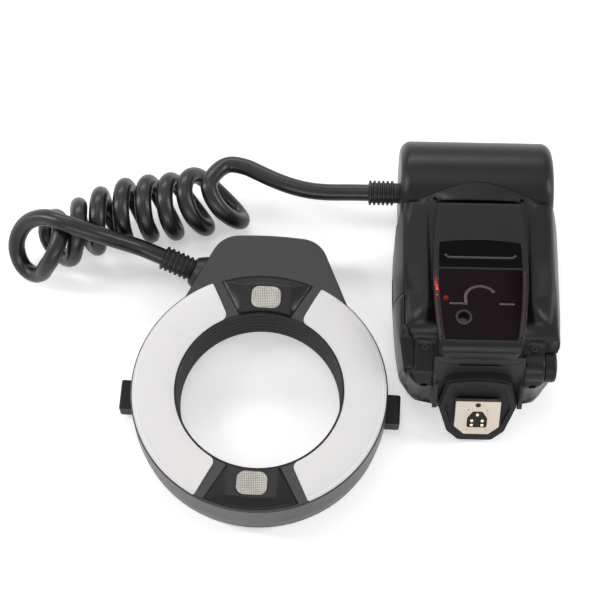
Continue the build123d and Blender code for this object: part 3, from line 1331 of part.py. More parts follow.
def terminal_cover():
    cover = terminal_form()
    outer = [e for e in cover.edges() if abs(e.center().X - BODY_HALF_LOW - TERMINAL_PROUD) < PIN_GAP]
    return fillet(outer, TERMINAL_PROUD / 2)


# Back controls

def back_panel_cuts(back):
    """Sunk panel with openings for the display and the controls."""
    panel = rounded_plate(2 * PANEL_HALF, PANEL_TOP_Y - PANEL_LOW_Y, 2 * SHELL, -OVERRUN, PANEL_SINK, 0, (PANEL_TOP_Y + PANEL_LOW_Y) / 2)
    back = back - panel
    back = back - rounded_plate(LCD_W - 2 * UNIT_WALL, LCD_D - 2 * UNIT_WALL, FIT * 4, -OVERRUN, UNIT_BACK_WALL + OVERRUN / 2, 0, LCD_Y)
    back = back - rounded_plate(LCD_W + 2 * FIT, LCD_D + 2 * FIT, UNIT_WALL, -OVERRUN, PANEL_SINK + LCD_T / 2, 0, LCD_Y)
    for x in KEY_XS:
        back = back - rounded_plate(KEY_W + 2 * MOVE_GAP, KEY_D + 2 * MOVE_GAP, UNIT_WALL, -OVERRUN, 2 * UNIT_BACK_WALL, x, KEY_Y)
    back = back - disc(DIAL_R + MOVE_GAP, -OVERRUN, CONTROL_SINK + DIAL_T + MOVE_GAP, 0, DIAL_Y)
    back = back - disc(DIAL_HUB_R + MOVE_GAP, -OVERRUN, 2 * UNIT_BACK_WALL, 0, DIAL_Y)
    slot_w = SWITCH_W + SWITCH_TRAVEL + 2 * MOVE_GAP
    back = back - rounded_plate(slot_w, SWITCH_D + 2 * MOVE_GAP, FIT * 4, -OVERRUN, 2 * UNIT_BACK_WALL, SWITCH_X, SWITCH_Y)
    back = back - disc(TEST_R + MOVE_GAP, -OVERRUN, 2 * UNIT_BACK_WALL, TEST_X, TEST_Y)
    for x, y in BACK_SCREWS:
        back = back - disc(UNIT_SCREW_HEAD_R + FIT, -OVERRUN, SCREW_SINK + UNIT_SCREW_HEAD_T, x, y)
    return back + board_posts()


def board_posts():
    x = MAIN_BOARD_HALF - POST_R
    posts = [disc(POST_R, PANEL_SINK + FIT, MAIN_BOARD_Z, sx * x, y)
             for sx in (-1, 1) for y in (MAIN_BOARD_TOP_Y - 5 * POST_R, MAIN_BOARD_LOW_Y + POST_R)]
    return posts[0] + posts[1] + posts[2] + posts[3]


def lcd_window():
    return rounded_plate(LCD_W, LCD_D, UNIT_WALL, CONTROL_SINK + LCD_T / 2 - FIT, PANEL_SINK + LCD_T / 2, 0, LCD_Y)


def lcd_panel():
    low = UNIT_BACK_WALL + PIN_GAP
    return rounded_plate(LCD_W, LCD_D - UNIT_WALL, FIT * 4, low, low + LCD_PANEL_T, 0, LCD_Y)


def key(x):
    """Rounded key with a flange that holds it inside the shell."""
    top = CONTROL_SINK
    cap = rounded_plate(KEY_W, KEY_D, UNIT_WALL * 0.8, top, UNIT_BACK_WALL + FIT * 2, x, KEY_Y)
    low = UNIT_BACK_WALL + FIT * 2
    return cap + rounded_plate(KEY_W + 2 * KEY_FLANGE, KEY_D + 2 * KEY_FLANGE, UNIT_WALL, low, low + KEY_FLANGE_T, x, KEY_Y)


def select_dial():
    ring = disc(DIAL_R, CONTROL_SINK, CONTROL_SINK + DIAL_T, 0, DIAL_Y)
    for i in range(DIAL_RIBS):
        a = 2 * pi * i / DIAL_RIBS
        ring = ring - disc(RIB_CUT_R, -OVERRUN, OVERRUN, DIAL_R * cos(a), DIAL_Y + DIAL_R * sin(a))
    hub = disc(DIAL_HUB_R, CONTROL_SINK + DIAL_T / 2, CONTROL_SINK + DIAL_HUB_T, 0, DIAL_Y)
    return ring + hub - disc(DIAL_BORE_R, -OVERRUN, 2 * OVERRUN, 0, DIAL_Y)


def set_button():
    return disc(SET_R, CONTROL_SINK, CONTROL_SINK + SET_T, 0, DIAL_Y)


def power_switch():
    low = UNIT_BACK_WALL + FIT * 2
    x = SWITCH_X - SWITCH_TRAVEL / 2
    knob = rounded_plate(SWITCH_W, SWITCH_D, FIT * 4, CONTROL_SINK, low, x, SWITCH_Y)
    for i in (-1, 0, 1):
        knob = knob - rod_y(RIB_CUT_R, SWITCH_Y + SWITCH_D, SWITCH_Y - SWITCH_D, x + i * SWITCH_W / 4, CONTROL_SINK)
    return knob + rounded_plate(SWITCH_W + 2 * KEY_FLANGE, SWITCH_D + 2 * KEY_FLANGE, UNIT_WALL, low, low + KEY_FLANGE_T, x, SWITCH_Y)


def test_button():
    low = UNIT_BACK_WALL + FIT * 2
    return disc(TEST_R, CONTROL_SINK, low, TEST_X, TEST_Y) + disc(TEST_R + KEY_FLANGE, low, low + KEY_FLANGE_T, TEST_X, TEST_Y)


def main_board():
    board = block(-MAIN_BOARD_HALF, MAIN_BOARD_HALF, MAIN_BOARD_TOP_Y, MAIN_BOARD_LOW_Y, MAIN_BOARD_Z, MAIN_BOARD_Z + BOARD_T)
    top = MAIN_BOARD_Z + BOARD_T
    chip = Pos(CHIP_X, CHIP_Y, top) * extrude(Rectangle(CHIP_W, CHIP_D), BOARD_T)
    return board + chip


def body_screws():
    screws = []
    for s in (1, -1):
        z = UNIT_TOP_SCREW_Z
        head = disc(UNIT_SCREW_HEAD_R, z, z + UNIT_SCREW_HEAD_T / 2, s * UNIT_SCREW_X, UNIT_SCREW_UP_Y)
        screws.append(head)
        low = extrude(foot_screw_plane(s) * Circle(UNIT_SCREW_HEAD_R), UNIT_SCREW_HEAD_T / 2)
        screws.append(low)
    for x, y in BACK_SCREWS:
        screws.append(disc(UNIT_SCREW_HEAD_R, SCREW_SINK, SCREW_SINK + UNIT_SCREW_HEAD_T, x, y))
    return group(screws)


def main():
    os.makedirs("parts", exist_ok=True)
    write_ring("ring_front_housing", ring_front_housing())
    write_ring("ring_rear_cover", ring_rear_cover())
    write_ring("ring_screws", ring_screws())
    write_ring("bore_baffle", bore_baffle())
    for index, name in enumerate(("left", "right")):
        write_ring(f"diffuser_{name}", diffuser(index))
        write_ring(f"reflector_{name}", reflector(index))
    write_ring("flash_tubes", flash_tubes())
    write_ring("lamp_hood_top", lamp_hood())
    write_ring("lamp_hood_bottom", Rot(0, 0, 180) * lamp_hood())
    write_ring("lamp_lenses", lamp_lenses())
    write_ring("lamp_emitters", lamp_emitters())
    for side, name in ((-1, "left"), (1, "right")):
        write_ring(f"latch_slider_{name}", latch_slider(side))
        write_ring(f"release_button_{name}", release_button(side))
    write_ring("ring_mid_frame", ring_mid_frame())
    write_ring("ring_board", ring_board())
    write_ring("ring_cord_boot", ring_cord_boot())

    ring_run, ring_length = free_run([RING_BOOT_END] + RING_RUN + [COIL_LEFT_END], "cord_ring_run")
    coil, coil_length = cord_coil()
    unit_run, unit_length = free_run([UNIT_BOOT_END] + UNIT_RUN + [COIL_RIGHT_END], "cord_unit_run")
    write("cord_ring_run", ring_run)
    write("cord_coil", coil)
    write("cord_unit_run", unit_run)
    print("cord length", round(ring_length + coil_length + unit_length, 1))

    front, back = body_shells()
    write_unit("body_front_shell", front)
    write_unit("body_back_shell", back_panel_cuts(back))
    head_front, head_back = head_shells()
    write_unit("head_front_shell", head_front)
    write_unit("head_back_shell", head_back)
    write_unit("main_capacitor", main_capacitor())
    write("unit_cord_boot", unit_cord_boot())
    write_unit("spine_plate", spine_plate())
    write_unit("black_window", window(black_face(FIT)))
    write_unit("red_window", red_window())
    write_unit("assist_board", assist_board())
    write_unit("assist_lamps", assist_lamps())
    write_unit("ready_led", ready_led())
    write_unit("sensor_eye", sensor_eye())
    write_unit("foot_housing", housing_form())
    write_unit("foot_block", foot_block())
    write_unit("shoe_plate", shoe_plate())
    write_unit("contact_insulator", contact_insulator())
    write_unit("contact_pins", contact_pins())
    write_unit("lock_pin", lock_pin())
    write_unit("lock_knob", lock_knob())
    write_unit("battery_cells", battery_cells())
    write_unit("battery_door", battery_door())
    write_unit("terminal_cover", terminal_cover())
    write_unit("lcd_window", lcd_window())
    write_unit("lcd_panel", lcd_panel())
    for x, name in zip(KEY_XS, KEY_NAMES):
        write_unit(name, key(x))
    write_unit("select_dial", select_dial())
    write_unit("set_button", set_button())
    write_unit("power_switch", power_switch())
    write_unit("test_button", test_button())
    write_unit("main_board", main_board())
    write_unit("body_screws", body_screws())


if __name__ == "__main__":
    main()
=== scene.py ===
import math

import bmesh
import bpy
from bpy.props import FloatProperty, FloatVectorProperty, IntProperty, PointerProperty
from bpy.types import Operator, Panel, PropertyGroup
from mathutils import Matrix, Vector


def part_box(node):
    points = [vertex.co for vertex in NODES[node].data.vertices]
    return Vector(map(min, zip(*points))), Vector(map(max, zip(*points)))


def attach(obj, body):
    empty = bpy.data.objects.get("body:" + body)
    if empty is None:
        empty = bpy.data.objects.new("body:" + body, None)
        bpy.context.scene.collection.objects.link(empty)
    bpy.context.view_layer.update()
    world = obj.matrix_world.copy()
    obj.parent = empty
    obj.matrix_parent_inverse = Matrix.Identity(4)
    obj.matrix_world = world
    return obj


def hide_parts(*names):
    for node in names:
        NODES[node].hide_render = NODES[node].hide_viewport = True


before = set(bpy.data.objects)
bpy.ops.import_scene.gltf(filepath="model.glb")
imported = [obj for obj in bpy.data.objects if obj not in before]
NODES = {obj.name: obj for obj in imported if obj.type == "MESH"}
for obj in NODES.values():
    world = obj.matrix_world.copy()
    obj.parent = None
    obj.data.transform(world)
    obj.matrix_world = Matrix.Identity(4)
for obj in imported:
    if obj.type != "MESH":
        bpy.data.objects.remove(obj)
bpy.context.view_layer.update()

bl_info = {
    "name": "Macro ring flash",
    "version": (1, 0, 0),
    "blender": (4, 5, 0),
    "location": "3D View > Sidebar > Ring flash",
    "description": "Dresses the packed macro ring flash and sets its studio",
    "category": "Object",
}

MM = 0.001

# The control unit's frame: the axis of its head tube, and the slope of its foot
UNIT = Vector((0.0902, 0.0946, 0.0))
FOOT_TURN = math.radians(26.0)
RING_TURN = math.radians(-2.2)
UP = Vector((0.0, 0.0, 1.0))

# The foot's face: its middle in the unit's millimetres, its normal and the way up along it
FOOT_MIDDLE = Vector((0.0, -103.0, 17.0))
FOOT_OUT = Vector((0.0, -math.cos(FOOT_TURN), math.sin(FOOT_TURN)))
FOOT_UP = Vector((0.0, math.sin(FOOT_TURN), math.cos(FOOT_TURN)))

# Forms of the control unit in its millimetres: head tube, arch of the neck, ridge of the spine
TUBE_RADIUS = 22.0
NECK_TOP, NECK_FALL = 43.1, 0.0055
RIDGE_Y, RIDGE_Z, RIDGE_SLOPE = -48.5, 46.2, 1.0 / 31.0
SPINE_UP = Vector((0.0, -0.032, 1.0)).normalized()
SPINE_DOWN = Vector((0.0, 0.063, 1.0)).normalized()


COLOUR = {"subtype": "COLOR", "min": 0.0, "max": 1.0}


class RingFlashSizes(PropertyGroup):
    cord_diameter: FloatProperty(
        name="Cord diameter", description="Outer diameter of the coiled cord",
        default=0.0073, min=0.003, max=0.012, unit="LENGTH")
    curl_radius: FloatProperty(
        name="Curl radius", description="Radius of a curl's centreline",
        default=0.0118, min=0.006, max=0.03, unit="LENGTH")
    curl_steps: IntProperty(
        name="Points per curl", description="Control points in one turn of the coil",
        default=12, min=12, max=24)
    prism_pitch: FloatProperty(
        name="Prism pitch", description="Distance between the prisms under a lamp lens",
        default=0.0011, min=0.0006, max=0.003, unit="LENGTH")
    prism_height: FloatProperty(
        name="Prism height", description="Height of one prism",
        default=0.0006, min=0.0002, max=0.002, unit="LENGTH")
    edge_round: FloatProperty(
        name="Edge round", description="Radius that moulded edges are rounded to",
        default=0.0004, min=0.0, max=0.002, unit="LENGTH")
    grain_depth: FloatProperty(
        name="Grain depth", description="Depth of the moulded grain on the shells",
        default=0.00003, min=0.0, max=0.0002, unit="LENGTH")


class RingFlashColours(PropertyGroup):
    shell: FloatVectorProperty(
        name="Shell", description="Moulded shells of the flash",
        default=(0.0072, 0.0064, 0.0075), **COLOUR)
    diffuser: FloatVectorProperty(
        name="Diffuser", description="Milky arcs of the ring",
        default=(0.74, 0.725, 0.725), **COLOUR)
    cord: FloatVectorProperty(
        name="Cord", description="Rubber of the cord and its boots",
        default=(0.0065, 0.0065, 0.007), **COLOUR)
    window: FloatVectorProperty(
        name="Window", description="Tint of the assist window",
        default=(0.0045, 0.0002, 0.0012), **COLOUR)
    glow: FloatVectorProperty(
        name="Glow", description="Ready lamp",
        default=(1.0, 0.03, 0.02), **COLOUR)


class RingFlashStage(PropertyGroup):
    lens: FloatProperty(
        name="Lens", description="Camera focal length in millimetres", default=106.38, min=20.0, max=300.0)
    floor: FloatVectorProperty(
        name="Floor", description="Colour of the table",
        default=(0.93, 0.93, 0.93), **COLOUR)
    ambient: FloatProperty(
        name="Ambient", description="Strength of the room's light", default=0.24, min=0.0, max=2.0)


def sizes():
    return bpy.context.scene.ring_flash_sizes


def colours():
    return bpy.context.scene.ring_flash_colours


# Shader groups

def shared_tree(build):
    """Node tree that a function builds when it is first used; the two have the same name."""
    return bpy.data.node_groups.get(build.__name__) or build()


def group_tree(name, inputs, outputs):
    tree = bpy.data.node_groups.new(name, "ShaderNodeTree")
    for label, value in inputs:
        socket = tree.interface.new_socket(name=label, in_out="INPUT", socket_type="NodeSocketFloat")
        socket.default_value = value
    for label in outputs:
        kind = "NodeSocketVector" if label == "Normal" else "NodeSocketFloat"
        tree.interface.new_socket(name=label, in_out="OUTPUT", socket_type=kind)
    return tree, tree.nodes.new("NodeGroupInput"), tree.nodes.new("NodeGroupOutput")


def feed(tree, value, socket):
    """Set a socket to a number, or link an output to it."""
    if isinstance(value, (int, float)):
        socket.default_value = value
    else:
        tree.links.new(value, socket)


def set_inputs(node, **values):
    """Set inputs of a node; a space in a label is written as a low line."""
    for label, value in values.items():
        node.inputs[label.replace("_", " ")].default_value = value
    return node


def maths(tree, operation, a, b=None):
    node = tree.nodes.new("ShaderNodeMath")
    node.operation = operation
    feed(tree, a, node.inputs[0])
    if b is not None:
        feed(tree, b, node.inputs[1])
    return node.outputs[0]


def object_place(tree):
    return tree.nodes.new("ShaderNodeTexCoord").outputs["Object"]


def object_axes(tree):
    split = tree.nodes.new("ShaderNodeSeparateXYZ")
    tree.links.new(object_place(tree), split.inputs[0])
    return split.outputs


def noise(tree, scale, detail=2.0, roughness=0.5):
    node = tree.nodes.new("ShaderNodeTexNoise")
    set_inputs(node, Detail=detail, Roughness=roughness)
    feed(tree, scale, node.inputs["Scale"])
    tree.links.new(object_place(tree), node.inputs["Vector"])
    return node.outputs["Fac"]


def moulded_grain():
    """Height of a moulded grain, with small pits and a slow waviness."""
    tree, source, out = group_tree("moulded_grain", [("Scale", 1800.0), ("Waviness", 0.3)], ["Height", "Mask"])
    pits = noise(tree, source.outputs["Scale"], 3.0, 0.62)
    waves = noise(tree, 60.0)
    slow = maths(tree, "MULTIPLY", waves, source.outputs["Waviness"])
    tree.links.new(maths(tree, "ADD", pits, slow), out.inputs["Height"])
    tree.links.new(waves, out.inputs["Mask"])
    return tree


def handling_marks():
    """Mask of light handling marks: soft smudges broken up by fine streaks."""
    tree, source, out = group_tree("handling_marks", [("Scale", 45.0), ("Strength", 0.12)], ["Mask"])
    both = maths(tree, "MULTIPLY", noise(tree, source.outputs["Scale"], 4.0), noise(tree, 700.0))
    tree.links.new(maths(tree, "MULTIPLY", both, source.outputs["Strength"]), out.inputs["Mask"])
    return tree


def rounded_edges():
    """Normal rounded over at the edges, and a mask of where it turns away from the face, which places a
    painted edge highlight.
    """
    tree, source, out = group_tree("rounded_edges", [("Radius", 0.0004)], ["Normal", "Mask"])
    bevel = tree.nodes.new("ShaderNodeBevel")
    bevel.samples = 4
    tree.links.new(source.outputs["Radius"], bevel.inputs["Radius"])
    face = tree.nodes.new("ShaderNodeNewGeometry")
    turn = tree.nodes.new("ShaderNodeVectorMath")
    turn.operation = "DOT_PRODUCT"
    tree.links.new(bevel.outputs[0], turn.inputs[0])
    tree.links.new(face.outputs["Normal"], turn.inputs[1])
    tree.links.new(bevel.outputs[0], out.inputs["Normal"])
    away = maths(tree, "MULTIPLY", maths(tree, "SUBTRACT", 1.0, turn.outputs["Value"]), 3.0)
    tree.links.new(maths(tree, "MINIMUM", away, 1.0), out.inputs["Mask"])
    return tree


def prism_grid():
    """Mask of a fine square grid, as on a prismatic lens."""
    tree, source, out = group_tree("prism_grid", [("Pitch", PRISM_GRID)], ["Mask", "Height"])
    axes = object_axes(tree)
    waves = []
    for axis in ("X", "Y"):
        turns = maths(tree, "DIVIDE", axes[axis], source.outputs["Pitch"])
        waves.append(maths(tree, "ABSOLUTE", maths(tree, "SINE", maths(tree, "MULTIPLY", turns, math.pi))))
    both = maths(tree, "MULTIPLY", *waves)
    tree.links.new(both, out.inputs["Height"])
    tree.links.new(maths(tree, "POWER", both, 0.6), out.inputs["Mask"])
    return tree


# Materials

PRISM_GRID = 0.00075
READY_LED_Y = UNIT.y - 0.0572


def scaled(colour, factor):
    return tuple(c * factor for c in colour)


def blank_material(name, colour=None, shine=None):
    material = bpy.data.materials.new(name)
    material.use_nodes = True
    tree = material.node_tree
    shader = tree.nodes["Principled BSDF"]
    if colour:
        shader.inputs["Base Color"].default_value = (*colour, 1.0)
    if shine is not None:
        shader.inputs["Specular IOR Level"].default_value = shine
    return material, tree, shader


def place_group(tree, build, **values):
    node = tree.nodes.new("ShaderNodeGroup")
    node.node_tree = shared_tree(build)
    return set_inputs(node, **values)


def add_bump(tree, shader, height, distance):
    bump = tree.nodes.new("ShaderNodeBump")
    set_inputs(bump, Distance=distance)
    tree.links.new(height, bump.inputs["Height"])
    tree.links.new(bump.outputs["Normal"], shader.inputs["Normal"])
    return bump


def vary_roughness(tree, shader, base, scale, strength):
    marks = place_group(tree, handling_marks, Scale=scale, Strength=strength)
    tree.links.new(maths(tree, "ADD", marks.outputs["Mask"], base), shader.inputs["Roughness"])


def mixed(tree, mask, first, second, blend="MIX"):
    """Colour mixed by a mask; each of the two is three numbers or an output."""
    node = tree.nodes.new("ShaderNodeMix")
    node.data_type = "RGBA"
    node.blend_type = blend
    tree.links.new(mask, node.inputs[0])
    for colour, socket in ((first, node.inputs[6]), (second, node.inputs[7])):
        if isinstance(colour, tuple):
            socket.default_value = (*colour, 1.0)
        else:
            tree.links.new(colour, socket)
    return node.outputs[2]


def vary_colour(tree, shader, mask, dark, light):
    tree.links.new(mixed(tree, mask, dark, light), shader.inputs["Base Color"])


def fading_emission(tree, shader, colour, mask, strength):
    """Emission of one strength whose colour fades with a mask."""
    tint = tree.nodes.new("ShaderNodeVectorMath")
    tint.operation = "SCALE"
    tint.inputs[0].default_value = colour
    tree.links.new(mask, tint.inputs["Scale"])
    tree.links.new(tint.outputs["Vector"], shader.inputs["Emission Color"])
    set_inputs(shader, Emission_Strength=strength)


def moulded_plastic(name, colour, roughness, scale=1800.0, depth=None,
                    shine=0.22, spread=1.35, wear=0.012, edge=None):
    material, tree, shader = blank_material(name, shine=shine)
    grain = place_group(tree, moulded_grain, Scale=scale, Waviness=0.3)
    edges = place_group(tree, rounded_edges, Radius=edge or sizes().edge_round)
    base = mixed(tree, grain.outputs["Mask"], scaled(colour, 1.0 / spread), scaled(colour, spread))
    # Painted edge highlight: a light grey is added to the colour where the rounded normal turns away from the
    # face
    edge_lit_colour = mixed(tree, edges.outputs["Mask"], base, (wear, wear, wear), "ADD")
    tree.links.new(edge_lit_colour, shader.inputs["Base Color"])
    vary_roughness(tree, shader, roughness - 0.04, 45.0, 0.16)
    bump = add_bump(tree, shader, grain.outputs["Height"], depth or sizes().grain_depth)
    tree.links.new(edges.outputs["Normal"], bump.inputs["Normal"])
    return material


def prismatic(name, dark, light, roughness):
    """Moulded lens with a fine square grid of prisms over something bright."""
    material, tree, shader = blank_material(name)
    grid = place_group(tree, prism_grid, Pitch=PRISM_GRID)
    grain = place_group(tree, moulded_grain, Scale=260.0, Waviness=0.5)
    shade = maths(tree, "MULTIPLY", grid.outputs["Mask"], maths(tree, "ADD", grain.outputs["Height"], 0.25))
    vary_colour(tree, shader, shade, dark, light)
    add_bump(tree, shader, grid.outputs["Height"], 0.0001)
    vary_roughness(tree, shader, roughness, 80.0, 0.08)
    return material


def gloss_panel(name, colour, roughness=0.06, shine=0.12):
    material, tree, shader = blank_material(name, colour, shine)
    vary_roughness(tree, shader, roughness - 0.02, 60.0, 0.10)
    return material


def rubber(name, colour, roughness):
    material, tree, shader = blank_material(name, shine=0.38)
    grain = place_group(tree, moulded_grain, Scale=900.0, Waviness=0.6)
    vary_colour(tree, shader, grain.outputs["Mask"], scaled(colour, 0.7), scaled(colour, 1.35))
    vary_roughness(tree, shader, roughness - 0.03, 90.0, 0.22)
    add_bump(tree, shader, grain.outputs["Height"], 0.00003)
    return material


def milky(name, colour):
    """Opal diffuser with a faint moulded texture and soft light inside it."""
    material, tree, shader = blank_material(name)
    grain = place_group(tree, moulded_grain, Scale=75.0, Waviness=0.5)
    red, green, blue = colour
    cool = (red * 0.93, green * 0.965, blue)
    warm = (red * 1.04, green, blue * 0.965)
    vary_colour(tree, shader, grain.outputs["Mask"], cool, warm)
    add_bump(tree, shader, grain.outputs["Height"], 0.00002)
    vary_roughness(tree, shader, 0.38, 50.0, 0.12)
    set_inputs(shader, Subsurface_Weight=0.35, Subsurface_Radius=(1.0, 0.95, 0.9), Subsurface_Scale=0.0022)
    return material


def metal(name, colour, roughness, brushed=0.0):
    material, tree, shader = blank_material(name)
    set_inputs(shader, Metallic=1.0)
    grain = place_group(tree, moulded_grain, Scale=1200.0, Waviness=0.5)
    vary_colour(tree, shader, grain.outputs["Mask"], scaled(colour, 0.88), scaled(colour, 1.08))
    vary_roughness(tree, shader, roughness, 120.0, 0.18)
    add_bump(tree, shader, grain.outputs["Height"], 0.00001 + brushed)
    return material


def clear_plastic(name, colour, roughness, alpha, shine=0.5):
    """Thin clear part: see-through by its alpha, with a clear surface."""
    material, tree, shader = blank_material(name, colour, shine)
    set_inputs(shader, Alpha=alpha)
    vary_roughness(tree, shader, roughness, 80.0, 0.08)
    return material


def board(name, colour):
    """Circuit board: masked copper areas and fine tracks under green lacquer."""
    material, tree, shader = blank_material(name)
    tracks = tree.nodes.new("ShaderNodeTexBrick")
    set_inputs(tracks, Scale=260.0, Mortar_Size=0.05)
    tree.links.new(object_place(tree), tracks.inputs["Vector"])
    vary_colour(tree, shader, tracks.outputs["Fac"], colour, scaled(colour, 2.2))
    set_inputs(shader, Roughness=0.35)
    return material


def glow(name, colour, strength, spread):
    """Lamp that is brightest at the middle of the ready lamp's top."""
    material, tree, shader = blank_material(name, colour)
    vary_roughness(tree, shader, 0.2, 400.0, 0.2)
    low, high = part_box("ready_led")
    away = tree.nodes.new("ShaderNodeVectorMath")
    away.operation = "DISTANCE"
    away.inputs[1].default_value = ((low.x + high.x) / 2, (low.y + high.y) / 2, high.z)
    tree.links.new(object_place(tree), away.inputs[0])
    fade = maths(tree, "SUBTRACT", 1.0, maths(tree, "DIVIDE", away.outputs["Value"], spread))
    fading_emission(tree, shader, colour, maths(tree, "MAXIMUM", fade, 0.02), strength)
    return material


def edge_glow(name, colour, strength):
    """Dark red rim that light leaks out of in specks, most of them near the ready lamp."""
    material, tree, shader = blank_material(name, (0.012, 0.002, 0.003), 0.25)
    vary_roughness(tree, shader, 0.16, 90.0, 0.1)
    axes = object_axes(tree)
    specks = noise(tree, 1500.0)
    far = maths(tree, "ABSOLUTE", maths(tree, "SUBTRACT", axes["Y"], READY_LED_Y))
    near = maths(tree, "MAXIMUM", maths(tree, "SUBTRACT", 1.0, maths(tree, "MULTIPLY", far, 190.0)), 0.02)
    left = maths(tree, "LESS_THAN", axes["X"], UNIT.x)
    lit = maths(tree, "MAXIMUM", maths(tree, "SUBTRACT", specks, 0.50), 0.0)
    light = maths(tree, "MULTIPLY", maths(tree, "MULTIPLY", lit, near), left)
    fading_emission(tree, shader, colour, light, strength)
    return material


def finish_table():
    """For each maker its finishes, with the material's name and the maker's values."""
    c = colours()
    glowing = tuple(c.glow)

    def shell(factor=1.0):
        return scaled(c.shell, factor)

    ring = {"scale": 2400.0, "shine": 0.5}
    return {
        moulded_plastic: {
            "shell": ("shell_plastic", shell(), 0.33, {"depth": 0.00004, "edge": 0.0018}),
            "ring_shell": ("ring_shell_plastic", shell(1.3), 0.38, {"depth": 0.00002, **ring}),
            "ring_face": ("ring_face_plastic", shell(1.4), 0.36, {"depth": 0.000015, **ring}),
            "inner": ("inner_plastic", shell(1.7), 0.55, {"depth": 0.00002}),
            "hood": ("lamp_hood_plastic", shell(0.8), 0.30,
                     {"scale": 2400.0, "depth": 0.000015, "shine": 0.26, "edge": 0.0008}),
            "grey": ("grey_plastic", (0.026, 0.025, 0.028), 0.42, {"scale": 2000.0}),
            "foot": ("foot_plastic", shell(1.3), 0.50,
                     {"scale": 1500.0, "depth": 0.00005, "spread": 1.9}),
            "knob": ("knob_plastic", shell(0.6), 0.44, {"scale": 1600.0, "shine": 0.2}),
            # The seams get no painted edge highlight
            "seam": ("seam_shadow", (0.002, 0.002, 0.002), 0.8, {"shine": 0.05, "wear": 0.0}),
            "segments": ("display_segments", (0.012, 0.014, 0.012), 0.4, {"shine": 0.2}),
            "lamp": ("lamp_phosphor", (0.72, 0.66, 0.42), 0.4, {"scale": 1500.0, "spread": 1.1}),
            "cell": ("cell_wrap", (0.13, 0.15, 0.18), 0.25, {"depth": 0.00001}),
            "display_panel": ("display_panel", (0.26, 0.30, 0.24), 0.35, {"depth": 0.00001}),
        },
        gloss_panel: {
            "gloss": ("gloss_black_window", (0.0025, 0.0025, 0.003), 0.05, 0.05),
            "collar": ("sensor_collar", (0.008, 0.008, 0.009), 0.1, 0.4),
            "can": ("capacitor_sleeve", (0.02, 0.02, 0.03), 0.2),
            "pilot": ("pilot_button", (0.30, 0.05, 0.02), 0.2, 0.5),
            "border": ("diffuser_border", (0.90, 0.89, 0.88), 0.25, 0.5),
            "rib": ("window_rib", (0.050, 0.022, 0.032), 0.25, 0.5),
            "bar": ("window_bar", (0.030, 0.030, 0.033), 0.3, 0.3),
        },
        edge_glow: {"edge": ("window_edge", glowing, 16.0)},
        glow: {"ready": ("ready_lamp", glowing, 420.0, 0.0016)},
        clear_plastic: {
            "window": ("red_assist_window", tuple(c.window), 0.04, 0.97, 0.04),
            "assist_lens": ("assist_lens_plastic", (0.93, 0.92, 0.84), 0.10, 0.38),
            "prism": ("prism_plastic", (0.90, 0.88, 0.78), 0.16, 0.7),
            "tube": ("flash_tube_glass", (0.9, 0.92, 0.95), 0.05, 0.35),
            "display": ("display_window", (0.20, 0.24, 0.20), 0.06, 0.22),
        },
        milky: {"milky": ("milky_diffuser", tuple(c.diffuser))},
        rubber: {
            "rubber": ("cord_rubber", tuple(c.cord), 0.30),
            "boot": ("boot_rubber", scaled(c.cord, 0.9), 0.42),
        },
        prismatic: {"lens": ("lamp_lens_plastic", (0.10, 0.095, 0.085), (0.66, 0.63, 0.56), 0.16)},
        metal: {
            "mirror": ("reflector_metal", (0.86, 0.86, 0.86), 0.12),
            "screw": ("screw_steel", (0.030, 0.030, 0.032), 0.38),
            "shoe": ("shoe_plate_metal", (0.55, 0.48, 0.42), 0.30, 0.00001),
            "contact": ("contact_brass", (0.80, 0.70, 0.48), 0.22),
        },
        board: {"board": ("circuit_board", (0.014, 0.05, 0.022))},
    }


FINISHES = {}


def finish(name):
    """Material of one finish, made when it is first asked for."""
    if name not in FINISHES:
        make, values = next((m, list(group[name])) for m, group in finish_table().items() if name in group)
        extra = values.pop() if isinstance(values[-1], dict) else {}
        FINISHES[name] = make(*values, **extra)
    return FINISHES[name]


# The nodes of each finish
NODE_FINISH = {
    "ring_shell": "ring_rear_cover",
    "ring_face": "ring_front_housing",
    "hood": "lamp_hood_top lamp_hood_bottom",
    "inner": "ring_mid_frame latch_slider_left latch_slider_right bore_baffle contact_insulator",
    "shell": "body_front_shell body_back_shell head_front_shell head_back_shell spine_plate "
             "battery_door",
    "grey": "foot_housing mode_button lamp_button ratio_button sync_button select_dial set_button "
            "power_switch",
    "foot": "foot_block",
    "knob": "lock_knob release_button_left release_button_right",
    "gloss": "black_window",
    "collar": "sensor_eye",
    "window": "red_window",
    "milky": "diffuser_left diffuser_right",
    "boot": "ring_cord_boot unit_cord_boot terminal_cover",
    "rubber": "cord_ring_run cord_coil cord_unit_run",
    "lens": "lamp_lenses",
    "assist_lens": "assist_lamps",
    "lamp": "lamp_emitters",
    "mirror": "reflector_left reflector_right",
    "tube": "flash_tubes",
    "screw": "ring_screws body_screws lock_pin",
    "shoe": "shoe_plate",
    "contact": "contact_pins",
    "board": "ring_board assist_board main_board",
    "can": "main_capacitor",
    "cell": "battery_cells",
    "display": "lcd_window",
    "display_panel": "lcd_panel",
    "ready": "ready_led",
    "pilot": "test_button",
}


# Helpers for pieces

def link_new(name, data):
    holder = bpy.data.objects.new(name, data)
    bpy.context.scene.collection.objects.link(holder)
    return holder


def add_piece(name, mesh, material, body="flash"):
    piece = link_new(name, mesh)
    if not mesh.materials:
        mesh.materials.append(material)
    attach(piece, body)
    return piece


def mesh_from(bm, name, smooth=True):
    bmesh.ops.remove_doubles(bm, verts=bm.verts, dist=1e-7)
    bmesh.ops.recalc_face_normals(bm, faces=bm.faces)
    mesh = bpy.data.meshes.new(name)
    bm.to_mesh(mesh)
    bm.free()
    if smooth:
        mesh.shade_smooth()
    return mesh


def add_built(bm, name, look, smooth=True):
    """Piece from a bmesh, with one finish."""
    add_piece(name, mesh_from(bm, name, smooth), finish(look))


